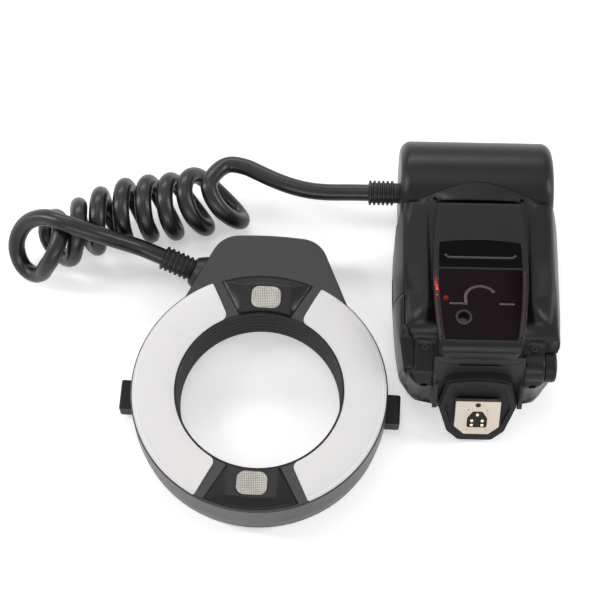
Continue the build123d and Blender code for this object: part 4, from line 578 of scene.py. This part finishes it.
def bake_tree(tree, name, values):
    """Plain mesh of a geometry node tree run with the values given."""
    holder = link_new(name + "_source", bpy.data.meshes.new(name + "_source"))
    modifier = holder.modifiers.new(name, "NODES")
    modifier.node_group = tree
    for item in tree.interface.items_tree:
        if item.item_type == "SOCKET" and item.in_out == "INPUT" and item.name in values:
            modifier[item.identifier] = values[item.name]
    bpy.context.view_layer.update()
    graph = bpy.context.evaluated_depsgraph_get()
    mesh = bpy.data.meshes.new_from_object(holder.evaluated_get(graph))
    mesh.name = name
    holder.modifiers.remove(modifier)
    bpy.data.objects.remove(holder)
    return mesh


def grid_tree(name, inputs):
    """Geometry tree with a grid of points; returns it with its ends and the grid's output."""
    tree = bpy.data.node_groups.new(name, "GeometryNodeTree")
    tree.interface.new_socket(name="Geometry", in_out="OUTPUT", socket_type="NodeSocketGeometry")
    sizes_and_counts = (("Width", "Float"), ("Depth", "Float"), ("Count X", "Int"), ("Count Y", "Int"))
    for label, kind in sizes_and_counts + inputs + (("Place", "Vector"), ("Material", "Material")):
        tree.interface.new_socket(name=label, in_out="INPUT", socket_type="NodeSocket" + kind)
    source, out = tree.nodes.new("NodeGroupInput"), tree.nodes.new("NodeGroupOutput")
    grid = tree.nodes.new("GeometryNodeMeshGrid")
    wire(tree, source, grid, Width="Size X", Depth="Size Y", Count_X="Vertices X", Count_Y="Vertices Y")
    return tree, source, out, grid.outputs["Mesh"]


def wire(tree, source, node, **pairs):
    """Link inputs of a tree to sockets of a node; a space is written as a low line."""
    for label, socket in pairs.items():
        tree.links.new(source.outputs[label.replace("_", " ")], node.inputs[socket])


def close_tree(tree, source, out, scatter, points, shape):
    """Set a shape on the points, move the field to its place and paint it."""
    move = tree.nodes.new("GeometryNodeTransform")
    realize = tree.nodes.new("GeometryNodeRealizeInstances")
    paint = tree.nodes.new("GeometryNodeSetMaterial")
    wire(tree, source, move, Place="Translation")
    wire(tree, source, paint, Material="Material")
    for start, end in ((points, scatter.inputs["Points"]), (shape, scatter.inputs["Instance"]),
                       (scatter.outputs[0], move.inputs["Geometry"]), (move.outputs[0], realize.inputs[0]),
                       (realize.outputs[0], paint.inputs["Geometry"]), (paint.outputs[0], out.inputs[0])):
        tree.links.new(start, end)
    return move


def prism_field():
    """Field of small prisms on a flat grid, turned and moved to its place."""
    inputs = (("Prism Radius", "Float"), ("Prism Height", "Float"), ("Turn", "Vector"))
    tree, source, out, points = grid_tree("prism_field", inputs)
    cone = tree.nodes.new("GeometryNodeMeshCone")
    cone.inputs["Vertices"].default_value = 4
    wire(tree, source, cone, Prism_Radius="Radius Bottom", Prism_Height="Depth")
    scatter = tree.nodes.new("GeometryNodeInstanceOnPoints")
    scatter.inputs["Rotation"].default_value = (0.0, 0.0, math.pi / 4)
    move = close_tree(tree, source, out, scatter, points, cone.outputs["Mesh"])
    wire(tree, source, move, Turn="Rotation")
    return tree


def board_parts():
    """Small chips set on a board in rows, with seeded random lengths and gaps."""
    tree, source, out, points = grid_tree("board_parts", (("Chip", "Vector"), ("Seed", "Int")))
    keep = tree.nodes.new("FunctionNodeRandomValue")
    keep.data_type = "BOOLEAN"
    keep.inputs["Probability"].default_value = 0.35
    drop = tree.nodes.new("GeometryNodeDeleteGeometry")
    tree.links.new(points, drop.inputs["Geometry"])
    tree.links.new(keep.outputs[3], drop.inputs["Selection"])
    chip = tree.nodes.new("GeometryNodeMeshCube")
    wire(tree, source, chip, Chip="Size")
    stretch = tree.nodes.new("FunctionNodeRandomValue")
    stretch.data_type = "FLOAT_VECTOR"
    stretch.inputs[0].default_value = (0.5, 0.6, 0.7)
    stretch.inputs[1].default_value = (1.5, 1.1, 1.0)
    for node in (keep, stretch):
        wire(tree, source, node, Seed="Seed")
    scatter = tree.nodes.new("GeometryNodeInstanceOnPoints")
    tree.links.new(stretch.outputs[0], scatter.inputs["Scale"])
    close_tree(tree, source, out, scatter, drop.outputs[0], chip.outputs["Mesh"])
    return tree


def unit_point(x, y, z):
    return Vector((UNIT.x + x * MM, UNIT.y + y * MM, z * MM))


def ring_point(x, y, z):
    return Matrix.Rotation(RING_TURN, 4, "Z") @ (Vector((x, y, z)) * MM)


def spine_point(x, y):
    """Point on the spine's face, which falls from its ridge both ways."""
    return unit_point(x, y, RIDGE_Z + (y - RIDGE_Y) * RIDGE_SLOPE * (-1 if y > RIDGE_Y else 2))


def neck_height(x):
    return NECK_TOP - NECK_FALL * x * x


# Cord

# Route points in millimetres, as in the part's source
RING_BOOT_END = (-43.7, 64.0, 15.0)
RING_RUN = [(-50.6, 66.1, 17.3), (-57.4, 66.7, 21.2), (-64.2, 66.6, 25.8), (-71.0, 66.8, 30.0)]
UNIT_BOOT_END = (44.4, 93.8, 22.0)
UNIT_RUN = [(35.9, 93.8, 22.0), (27.6, 93.2, 22.6), (19.3, 93.2, 23.6), (11.3, 94.6, 24.6), (4.0, 97.1, 25.2)]
COIL_AXIS = [(-15.4, 95.0, 10.0), (-28.6, 91.3, 7.0), (-40.2, 88.6, 3.7), (-50.4, 87.3, 2.6),
             (-60.9, 85.4, 1.5), (-72.1, 80.9, 0.0), (-82.3, 75.2, -2.4), (-94.0, 69.4, -7.0)]
COIL_HEAD = [(-2.6, 100.5, 25.0), (-10.0, 104.4, 24.8), (-18.5, 105.9, 24.0)]
COIL_TAIL = [(-96.2, 57.6, 9.4), (-100.8, 59.0, 5.0), (-106.8, 63.6, 5.6), (-108.6, 70.0, 14.6),
             (-103.2, 75.0, 24.4), (-93.8, 73.8, 32.4), (-85.6, 69.2, 35.8), (-77.6, 67.5, 33.2)]
COIL_REST = 15.6
# Angles at which the first curl begins and the last one ends
COIL_START, COIL_END = 1.4, 3.2


def curl_points(radius, steps):
    """Points of the curls, one loop over each entry of the axis and a pitch below to the next."""
    points = []
    last = len(COIL_AXIS) - 1
    for curl, here in enumerate(COIL_AXIS):
        after = COIL_AXIS[min(curl + 1, last)]
        for step in range(steps):
            angle = 2 * math.pi * step / steps
            if curl == 0 and angle < COIL_START or curl == last and angle > COIL_END:
                continue
            part = (1 + math.cos(angle)) / 2 if angle > math.pi else 0.0
            x, y, lean = (a + (b - a) * part for a, b in zip(here, after))
            across, rise = radius * math.cos(angle), radius * math.sin(angle)
            points.append((x - lean * math.sin(angle), y + across, COIL_REST + rise))
    return points


def spline_curve(name, points, diameter, material):
    curve = bpy.data.curves.new(name, "CURVE")
    curve.dimensions = "3D"
    curve.bevel_depth = diameter / 2
    curve.bevel_resolution = 6
    curve.resolution_u = 6
    curve.use_fill_caps = True
    spline = curve.splines.new("NURBS")
    spline.points.add(len(points) - 1)
    for point, place in zip(spline.points, points):
        point.co = (*(c * MM for c in place), 1.0)
    spline.order_u = 3
    spline.use_endpoint_u = True
    curve.materials.append(material)
    return link_new(name, curve)


class RINGFLASH_OT_cord(Operator):
    """Coiled cord from the ring's boot to the control unit's boot"""
    bl_idname = "ringflash.cord"
    bl_label = "Coiled cord"

    def execute(self, context):
        s = sizes()
        points = [UNIT_BOOT_END] + UNIT_RUN + COIL_HEAD
        points += curl_points(s.curl_radius / MM, s.curl_steps)
        points += COIL_TAIL + list(reversed(RING_RUN)) + [RING_BOOT_END]
        piece = spline_curve("coiled_cord", points, s.cord_diameter, finish("rubber"))
        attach(piece, "flash")
        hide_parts("cord_ring_run", "cord_coil", "cord_unit_run")
        return {"FINISHED"}


class RINGFLASH_OT_finishes(Operator):
    """Give every CAD node its material"""
    bl_idname = "ringflash.finishes"
    bl_label = "Finishes"

    def execute(self, context):
        done = set()
        for name, nodes in NODE_FINISH.items():
            for node in nodes.split():
                for slot in NODES[node].material_slots:
                    slot.material = finish(name)
                done.add(node)
        left = sorted(set(NODES) - done)
        if left:
            raise RuntimeError("nodes with no finish: " + ", ".join(left))
        return {"FINISHED"}


# Edges longer than this are cut where points are moved
LONG_EDGE = 2.5 * MM


def ease(low, high, value):
    """Smooth step from 0 at low to 1 at high."""
    t = min(1.0, max(0.0, (value - low) / (high - low)))
    return t * t * (3.0 - 2.0 * t)


def reshaped_copy(node, move, look, near=None, body="flash"):
    """Copy of a CAD node with its points moved; it takes the node's place and rides on its body."""
    name = node + "_skin"
    bm = bmesh.new()
    bm.from_mesh(NODES[node].data)
    bmesh.ops.remove_doubles(bm, verts=bm.verts, dist=1e-6)
    if near:
        for _ in range(2):
            long = [e for e in bm.edges
                    if e.calc_length() > LONG_EDGE and any(near(v.co) for v in e.verts)]
            bmesh.ops.subdivide_edges(bm, edges=long, cuts=1)
            bmesh.ops.triangulate(bm, faces=[f for f in bm.faces if len(f.verts) > 3])
    for vert in bm.verts:
        x, y, z = ((vert.co - UNIT) / MM)[:]
        vert.co = unit_point(*move(x, y, z))
    mesh = bpy.data.meshes.new(name)
    bm.to_mesh(mesh)
    bm.free()
    mesh.shade_smooth()
    mesh.set_sharp_from_angle(angle=math.radians(26.0))
    mesh.materials.clear()
    piece = add_piece(name, mesh, finish(look), body=body)
    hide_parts(node)


def body_shape(x, y, z):
    """Lower corners drawn in towards the table, and the top edge brought up to the head tube."""
    wide = abs(x)
    if z > 41.05 and -19.6 < y < -17.7 and wide > 17.0:
        y = -15.6
    if y > -17.3 and wide < 27.2:
        z = min(z, neck_height(x))
    y += 2.7 * ease(-22.0, -17.5, y) * ease(29.0, 37.0, z)
    end = 3.2 * ease(15.0, 20.0, wide) * ease(-86.6, -93.4, y)
    side = 4.2 * ease(23.5, 31.0, wide) * ease(-78.0, -88.0, y)
    y += (end + side) * (1.0 - ease(12.0, 25.0, z))
    return x, y, z


def tube_shape(x, y, z):
    """Ends of the head tube drawn in a little."""
    return x - math.copysign(1.4 * ease(20.0, 34.0, abs(x)), x), y, z


def housing_shape(x, y, z):
    """Cheeks of the foot housing cut short."""
    height = (Vector((x, y, z)) - FOOT_MIDDLE).dot(FOOT_UP)
    low = 1.2
    if height < low and abs(x) > 16.0:
        y, z = (Vector((0.0, y, z)) + FOOT_UP * (0.96 * (low - height)))[1:]
    return x, y, z


class RINGFLASH_OT_shells(Operator):
    """Shells of the control unit with their softer corners"""
    bl_idname = "ringflash.shells"
    bl_label = "Unit shells"

    def execute(self, context):
        low_end = UNIT.y - 84.0 * MM
        top_end = UNIT.y - 23.0 * MM

        def near(co):
            return co.y < low_end or co.y > top_end

        shells = {"body_front_shell": "flash", "body_back_shell": "flash", "battery_door": "door"}
        for node, body in shells.items():
            reshaped_copy(node, body_shape, "shell", near, body)
        for node in ("head_front_shell", "head_back_shell"):
            reshaped_copy(node, tube_shape, "shell", lambda co: True)
        reshaped_copy("foot_housing", housing_shape, "grey")
        return {"FINISHED"}


class RINGFLASH_OT_chin(Operator):
    """Grey block under the red window, down to the foot housing"""
    bl_idname = "ringflash.chin"
    bl_label = "Chin block"

    def execute(self, context):
        bm = bmesh.new()
        half, corner, back, front = 16.9, 4.2, -71.5, -85.1
        outline = [(half, back)]
        steps = 8
        for i in range(steps + 1):
            a = math.pi / 2 * i / steps
            outline.append((half - corner + corner * math.cos(a), front + corner - corner * math.sin(a)))
        outline += [(-x, y) for x, y in reversed(outline)]
        rows = []
        for inset, z in ((0.3, 33.8), (0.0, 34.2), (0.0, 40.4), (0.25, 41.0), (0.9, 41.3)):
            scale = (half - inset) / half
            shift = [inset if y < back - 0.1 else 0.0 for x, y in outline]
            rows.append([bm.verts.new(unit_point(x * scale, y + s, z)) for (x, y), s in zip(outline, shift)])
        count = len(outline)
        for a, b in zip(rows, rows[1:]):
            for j in range(count):
                bm.faces.new((a[j], a[(j + 1) % count], b[(j + 1) % count], b[j]))
        bm.faces.new(rows[0])
        bm.faces.new(rows[-1])
        mesh = mesh_from(bm, "chin_block")
        mesh.set_sharp_from_angle(angle=math.radians(35.0))
        add_piece("chin_block", mesh, finish("grey"))
        return {"FINISHED"}


class RINGFLASH_OT_window_ribs(Operator):
    """Moulded arc and bars on the red window, over the lamps behind it"""
    bl_idname = "ringflash.window_ribs"
    bl_label = "Window ribs"

    def execute(self, context):
        bm = bmesh.new()
        middle_x, middle_y, half, height, bar_y = -0.3, -61.0, 6.2, 4.9, -63.9
        arc = [spine_point(-6.5 - 0.1 * (y + 60.5), y) for y in (-64.6, -63.4, -62.2)]
        for i in range(33):
            a = math.radians(176.0 - 152.0 * i / 32)
            arc.append(spine_point(middle_x + half * math.cos(a), middle_y + height * math.sin(a)))
        add_strip(bm, arc, SPINE_DOWN, 0.85, 0.05)
        for start, end in ((-13.0, -7.0), (7.4, 13.6)):
            path = [spine_point(start + (end - start) * i / 8, bar_y) for i in range(9)]
            add_strip(bm, path, SPINE_DOWN, 0.62, 0.05)
        add_built(bm, "window_ribs", "rib")
        return {"FINISHED"}


class RINGFLASH_OT_lamp_prisms(Operator):
    """Prism fields under the two lamp lenses"""
    bl_idname = "ringflash.lamp_prisms"
    bl_label = "Lamp prisms"

    def execute(self, context):
        s = sizes()
        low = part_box("lamp_lenses")[0]
        width, depth, lamp_radius, below = 0.0094, 0.0070, 41.4, 0.62
        for name, side in (("lamp_prisms_top", 1), ("lamp_prisms_bottom", -1)):
            place = ring_point(0.0, side * lamp_radius, low.z / MM - below)
            mesh = bake_tree(shared_tree(prism_field), name, {
                "Width": width, "Depth": depth, "Count X": round(width / s.prism_pitch) + 1,
                "Count Y": round(depth / s.prism_pitch) + 1, "Prism Radius": s.prism_pitch * 0.7,
                "Prism Height": s.prism_height, "Place": tuple(place), "Turn": (0.0, 0.0, RING_TURN),
                "Material": finish("prism")})
            add_piece(name, mesh, finish("prism"))
        return {"FINISHED"}


class RINGFLASH_OT_board_parts(Operator):
    """Small parts on the assist board behind the red window"""
    bl_idname = "ringflash.board_parts"
    bl_label = "Board parts"

    def execute(self, context):
        low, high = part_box("assist_board")
        middle = (low + high) / 2
        mesh = bake_tree(shared_tree(board_parts), "assist_board_parts", {
            "Width": (high.x - low.x) * 0.72, "Depth": (high.y - low.y) * 0.5, "Count X": 9, "Count Y": 6,
            "Chip": (0.0016, 0.0009, 0.0007), "Seed": 5,
            "Place": (middle.x, middle.y - 0.001, high.z + 0.0003), "Material": finish("inner")})
        add_piece("assist_board_parts", mesh, finish("inner"))
        return {"FINISHED"}


def add_strip(bm, path, normal, half_width, rise):
    """Low ridge along a path in metres, on a face with the normal given; its sizes are in millimetres."""
    rows = []
    last = len(path) - 1
    for i, p in enumerate(path):
        along = (path[min(i + 1, last)] - path[max(i - 1, 0)]).normalized()
        side = normal.cross(along).normalized() * (half_width * MM)
        high = normal * (rise * MM)
        rows.append([bm.verts.new(p + offset) for offset in
                     (-high - side, high - side * 0.6, high + side * 0.6, side - high)])
    for a, b in zip(rows, rows[1:]):
        for j in range(4):
            bm.faces.new((a[j], b[j], b[(j + 1) % 4], a[(j + 1) % 4]))
    bm.faces.new(rows[0])
    bm.faces.new(list(reversed(rows[-1])))


class RINGFLASH_OT_window_bar(Operator):
    """Bright bar with turned up ends across the black window"""
    bl_idname = "ringflash.window_bar"
    bl_label = "Window bar"

    def execute(self, context):
        bm = bmesh.new()
        path = []
        half, bar_y, lift, straight = 14.7, -43.4, 1.5, 0.88
        for i in range(49):
            t = -1 + i / 24
            end = max(0.0, (abs(t) - straight) / (1.0 - straight))
            path.append(spine_point(half * t, bar_y + lift * end ** 1.6))
        add_strip(bm, path, SPINE_UP, 0.62, 0.10)
        add_built(bm, "window_bar", "bar")
        return {"FINISHED"}


class RINGFLASH_OT_window_edges(Operator):
    """Red rims beside the assist window, where its light leaks out"""
    bl_idname = "ringflash.window_edges"
    bl_label = "Window edges"

    def execute(self, context):
        bm = bmesh.new()
        top, length, inset = -49.0, 30.0, 1.15
        for side in (1, -1):
            path = []
            for i in range(25):
                y = top - length * i / 24
                half = 19.6 - 3.2 * ((y - RIDGE_Y) / 36.0) ** 2
                path.append(spine_point(side * (half - inset), y))
            add_strip(bm, path, SPINE_DOWN, 0.85, 0.06)
        add_built(bm, "window_edges", "edge")
        return {"FINISHED"}


class RINGFLASH_OT_seams(Operator):
    """Seam lines of the foot housing and of the panels beside it"""
    bl_idname = "ringflash.seams"
    bl_label = "Seams"

    def execute(self, context):
        bm = bmesh.new()
        top, low = Vector((0.0, -85.7, 35.6)), Vector((0.0, -87.8, 30.4))
        path = []
        for i in range(41):
            x = 17.6 * (i / 20 - 1)
            rise = max(0.0, (abs(x) - 9.0) / 8.6)
            spot = top.lerp(low, 0.34 - 0.30 * rise ** 1.5)
            path.append(unit_point(x, spot.y, spot.z))
        add_strip(bm, path, FOOT_OUT, 0.11, 0.02)
        slot = top.lerp(low, 0.30)
        ends = [unit_point(x, slot.y, slot.z) for x in (-8.4, 0.0, 8.4)]
        add_strip(bm, ends, FOOT_OUT, 0.5, 0.025)
        arch = []
        for i in range(49):
            x = 25.4 * (i / 24 - 1)
            z = neck_height(x)
            arch.append(unit_point(x, -math.sqrt(TUBE_RADIUS ** 2 - (z - TUBE_RADIUS) ** 2), z))
        add_strip(bm, arch, Vector((0.0, -0.3, 0.95)).normalized(), 0.16, 0.04)
        panel_z = 35.6
        left = [(-25.6, -75.9), (-23.6, -75.9), (-21.4, -76.5), (-19.8, -77.6), (-18.9, -79.4), (-18.7, -82.0)]
        right = [(19.2, -78.2), (19.9, -76.8), (21.4, -76.0), (26.4, -75.9), (27.6, -76.6),
                 (27.9, -78.0), (27.9, -80.0)]
        for points in (left, right):
            add_strip(bm, [unit_point(x, y, panel_z) for x, y in points], UP, 0.10, 0.02)
        add_built(bm, "seam_lines", "seam", smooth=False)
        return {"FINISHED"}


class RINGFLASH_OT_diffuser_borders(Operator):
    """Pale line moulded just inside the outer edge of each diffuser"""
    bl_idname = "ringflash.diffuser_borders"
    bl_label = "Diffuser borders"

    def execute(self, context):
        bm = bmesh.new()
        radius, level, gap, steps = 51.3, 23.06, 27.2, 60
        for start in (90.0 + gap, gap - 90.0):
            path = []
            for i in range(steps + 1):
                a = math.radians(start + (180.0 - 2.0 * gap) * i / steps)
                path.append(ring_point(radius * math.cos(a), radius * math.sin(a), level))
            add_strip(bm, path, UP, 0.17, 0.03)
        add_built(bm, "diffuser_borders", "border")
        return {"FINISHED"}


class RINGFLASH_OT_plate_marks(Operator):
    """Stamped marks round the contacts of the shoe plate"""
    bl_idname = "ringflash.plate_marks"
    bl_label = "Plate marks"

    def execute(self, context):
        bm = bmesh.new()
        middle = unit_point(*FOOT_MIDDLE)
        marks = [((-4.4, 2.4), (-4.0, 2.4)), ((-4.2, 4.2), (-3.5, 4.8)), ((-4.4, -6.6), (-3.6, -6.2))]
        for a, b in marks:
            for side in (1, -1):
                path = [middle + Vector((side * u * MM, 0.0, 0.0)) + FOOT_UP * (v * MM) for u, v in (a, b)]
                add_strip(bm, path, FOOT_OUT, 0.16, 0.012)
        add_built(bm, "plate_marks", "seam", smooth=False)
        return {"FINISHED"}


class RINGFLASH_OT_screw_drives(Operator):
    """Cross recesses in the heads of all screws"""
    bl_idname = "ringflash.screw_drives"
    bl_label = "Screw drives"

    def execute(self, context):
        bm = bmesh.new()
        spots = []
        screw_x, head_z, arm_length = 22.4, 0.3, 0.85 * MM
        for side in (1, -1):
            spots.append((unit_point(side * screw_x, -79.0, 34.5), UP))
            spots.append((unit_point(side * screw_x, -90.4, 22.4) - FOOT_OUT * (1.1 * MM), FOOT_OUT))
        for place, x, y in ((unit_point, 26.0, -22.5), (unit_point, 24.6, -85.0),
                            (ring_point, 15.7, -47.8), (ring_point, 17.0, 61.5)):
            spots += [(place(side * x, y, head_z), -UP) for side in (-1, 1)]
        for spot, normal in spots:
            one = normal.orthogonal().normalized()
            for arm in (one * arm_length, normal.cross(one) * arm_length):
                add_strip(bm, [spot - arm, spot + arm], normal, 0.2, 0.02)
        add_built(bm, "screw_drives", "seam", smooth=False)
        return {"FINISHED"}


# Ends of the seven segments in steps of a digit's width and half height, and the digits shown
SEGMENTS = {"a": ((0, 2), (1, 2)), "b": ((1, 2), (1, 1)), "c": ((1, 1), (1, 0)), "d": ((0, 0), (1, 0)),
            "e": ((0, 1), (0, 0)), "f": ((0, 2), (0, 1)), "g": ((0, 1), (1, 1))}
DIGITS = {"1": "bc", "2": "abged", "4": "fgbc", "8": "abcdefg"}


class RINGFLASH_OT_display(Operator):
    """Seven segment numbers and a level scale on the display"""
    bl_idname = "ringflash.display"
    bl_label = "Display"

    def execute(self, context):
        bm = bmesh.new()
        wide, tall, digits_y, scale_y, panel_z = 3.2, 2.6, -30.6, -33.8, 2.44
        for place, digit in ((12.0, "1"), (6.5, "4"), (-3.0, "2"), (-8.5, "8")):
            for key in DIGITS[digit]:
                ends = [unit_point(place - wide * u, digits_y + tall * v, panel_z) for u, v in SEGMENTS[key]]
                gap = (ends[1] - ends[0]) * 0.12
                add_strip(bm, [ends[0] + gap, ends[1] - gap], -UP, 0.26, 0.01)
        for i in range(13):
            x = 15.0 - 2.5 * i
            ends = [unit_point(x, y, panel_z) for y in (scale_y, scale_y + (0.8 if i % 3 else 1.4))]
            add_strip(bm, ends, -UP, 0.18, 0.01)
        add_built(bm, "display_segments", "segments", smooth=False)
        return {"FINISHED"}


class RINGFLASH_OT_stage(Operator):
    """Table, soft lights, world and camera"""
    bl_idname = "ringflash.stage"
    bl_label = "Stage"

    def execute(self, context):
        make_floor()
        make_world()
        make_lights()
        make_camera()
        return {"FINISHED"}


def seen_plainly(tree):
    """1 for rays from the camera, a glossy surface or a clear one, and 0 for the light on matt ones."""
    path = tree.nodes.new("ShaderNodeLightPath")
    seen = maths(tree, "MAXIMUM", path.outputs["Is Camera Ray"], path.outputs["Is Glossy Ray"])
    return maths(tree, "MAXIMUM", seen, path.outputs["Is Transmission Ray"])


def make_floor():
    mesh = bpy.data.meshes.new("table")
    bm = bmesh.new()
    bmesh.ops.create_grid(bm, x_segments=1, y_segments=1, size=4.0)
    bm.to_mesh(mesh)
    bm.free()
    floor = link_new("table", mesh)
    floor.location.z = -0.0003
    material, tree, shader = blank_material("table_white", bpy.context.scene.ring_flash_stage.floor, 0.2)
    set_inputs(shader, Roughness=0.8, Emission_Color=(1.0, 1.0, 1.0, 1.0))
    tree.links.new(maths(tree, "MULTIPLY", seen_plainly(tree), 0.42), shader.inputs["Emission Strength"])
    mesh.materials.append(material)


def make_world():
    ambient = bpy.context.scene.ring_flash_stage.ambient
    world = bpy.data.worlds.new("studio")
    bpy.context.scene.world = world
    world.use_nodes = True
    tree = world.node_tree
    shade = tree.nodes["Background"]
    set_inputs(shade, Color=(1.0, 1.0, 1.0, 1.0))
    lift = maths(tree, "MULTIPLY", seen_plainly(tree), 1.0 - ambient)
    tree.links.new(maths(tree, "ADD", lift, ambient), shade.inputs["Strength"])


# Name, place, width and length in metres, and power in watts
SOFTBOXES = (
    ("softbox_left", (-0.85, 0.15, 0.55), (0.16, 0.8), 5.2),
    ("softbox_right", (0.95, 0.10, 0.50), (0.14, 0.8), 4.6),
    ("softbox_back", (-0.15, 0.95, 0.70), (0.9, 0.16), 4.6),
    ("softbox_front", (0.05, -0.95, 0.45), (0.9, 0.14), 3.6),
    ("softbox_top", (0.0, 0.25, 1.2), (0.5, 0.5), 1.6),
)
LIGHT_TARGET = Vector((0.03, 0.04, 0.0))


def make_lights():
    for name, place, size, power in SOFTBOXES:
        lamp = bpy.data.lights.new(name, "AREA")
        lamp.shape = "RECTANGLE"
        lamp.size, lamp.size_y = size
        lamp.energy = power
        holder = link_new(name, lamp)
        holder.location = place
        holder.visible_camera = False
        holder.rotation_euler = (LIGHT_TARGET - Vector(place)).to_track_quat("-Z", "Y").to_euler()


# The photo's camera: its height over the table and turn round the object, its distance and its target
CAMERA_ELEVATION, CAMERA_TURN = math.radians(64.89), math.radians(1.3)
CAMERA_DISTANCE = 0.760
CAMERA_TARGET = Vector((0.01802, 0.03891, 0.0228))


def make_camera():
    lens = bpy.data.cameras.new("photo_camera")
    lens.sensor_width = 36.0
    lens.sensor_fit = "HORIZONTAL"
    lens.lens = bpy.context.scene.ring_flash_stage.lens
    lens.clip_start = 0.05
    holder = link_new("photo_camera", lens)
    out, rise = math.cos(CAMERA_ELEVATION), math.sin(CAMERA_ELEVATION)
    right = Vector((math.cos(CAMERA_TURN), math.sin(CAMERA_TURN), 0.0))
    back = Vector((out * right.y, -out * right.x, rise))
    turned = Matrix((right, back.cross(right), back)).transposed().to_4x4()
    turned.translation = CAMERA_TARGET + back * CAMERA_DISTANCE
    holder.matrix_world = turned
    bpy.context.scene.camera = holder
    bpy.context.scene.view_settings.view_transform = "Standard"


class RINGFLASH_PT_sidebar(Panel):
    """Lists the pieces and their settings"""
    bl_idname = "RINGFLASH_PT_sidebar"
    bl_label = "Ring flash"
    bl_space_type = "VIEW_3D"
    bl_region_type = "UI"
    bl_category = "Ring flash"

    def draw(self, context):
        layout = self.layout
        scene = context.scene
        for group in (scene.ring_flash_sizes, scene.ring_flash_colours, scene.ring_flash_stage):
            box = layout.box()
            for key in group.__annotations__:
                box.prop(group, key)
        for operator in OPERATORS:
            layout.operator(operator.bl_idname)


OPERATORS = (
    RINGFLASH_OT_stage,
    RINGFLASH_OT_cord,
    RINGFLASH_OT_finishes,
    RINGFLASH_OT_shells,
    RINGFLASH_OT_chin,
    RINGFLASH_OT_window_ribs,
    RINGFLASH_OT_diffuser_borders,
    RINGFLASH_OT_lamp_prisms,
    RINGFLASH_OT_board_parts,
    RINGFLASH_OT_window_bar,
    RINGFLASH_OT_window_edges,
    RINGFLASH_OT_seams,
    RINGFLASH_OT_plate_marks,
    RINGFLASH_OT_screw_drives,
    RINGFLASH_OT_display,
)
GROUPS = (RingFlashSizes, RingFlashColours, RingFlashStage)


def register():
    for cls in GROUPS + OPERATORS + (RINGFLASH_PT_sidebar,):
        bpy.utils.register_class(cls)
    bpy.types.Scene.ring_flash_sizes = PointerProperty(type=RingFlashSizes)
    bpy.types.Scene.ring_flash_colours = PointerProperty(type=RingFlashColours)
    bpy.types.Scene.ring_flash_stage = PointerProperty(type=RingFlashStage)


def unregister():
    del bpy.types.Scene.ring_flash_stage
    del bpy.types.Scene.ring_flash_colours
    del bpy.types.Scene.ring_flash_sizes
    for cls in reversed(GROUPS + OPERATORS + (RINGFLASH_PT_sidebar,)):
        bpy.utils.unregister_class(cls)


def main():
    register()
    bpy.ops.ringflash.stage()
    bpy.ops.ringflash.cord()
    bpy.ops.ringflash.finishes()
    bpy.ops.ringflash.shells()
    bpy.ops.ringflash.chin()
    bpy.ops.ringflash.window_ribs()
    bpy.ops.ringflash.diffuser_borders()
    bpy.ops.ringflash.lamp_prisms()
    bpy.ops.ringflash.board_parts()
    bpy.ops.ringflash.window_bar()
    bpy.ops.ringflash.window_edges()
    bpy.ops.ringflash.seams()
    bpy.ops.ringflash.plate_marks()
    bpy.ops.ringflash.screw_drives()
    bpy.ops.ringflash.display()


if __name__ == "__main__":
    main()
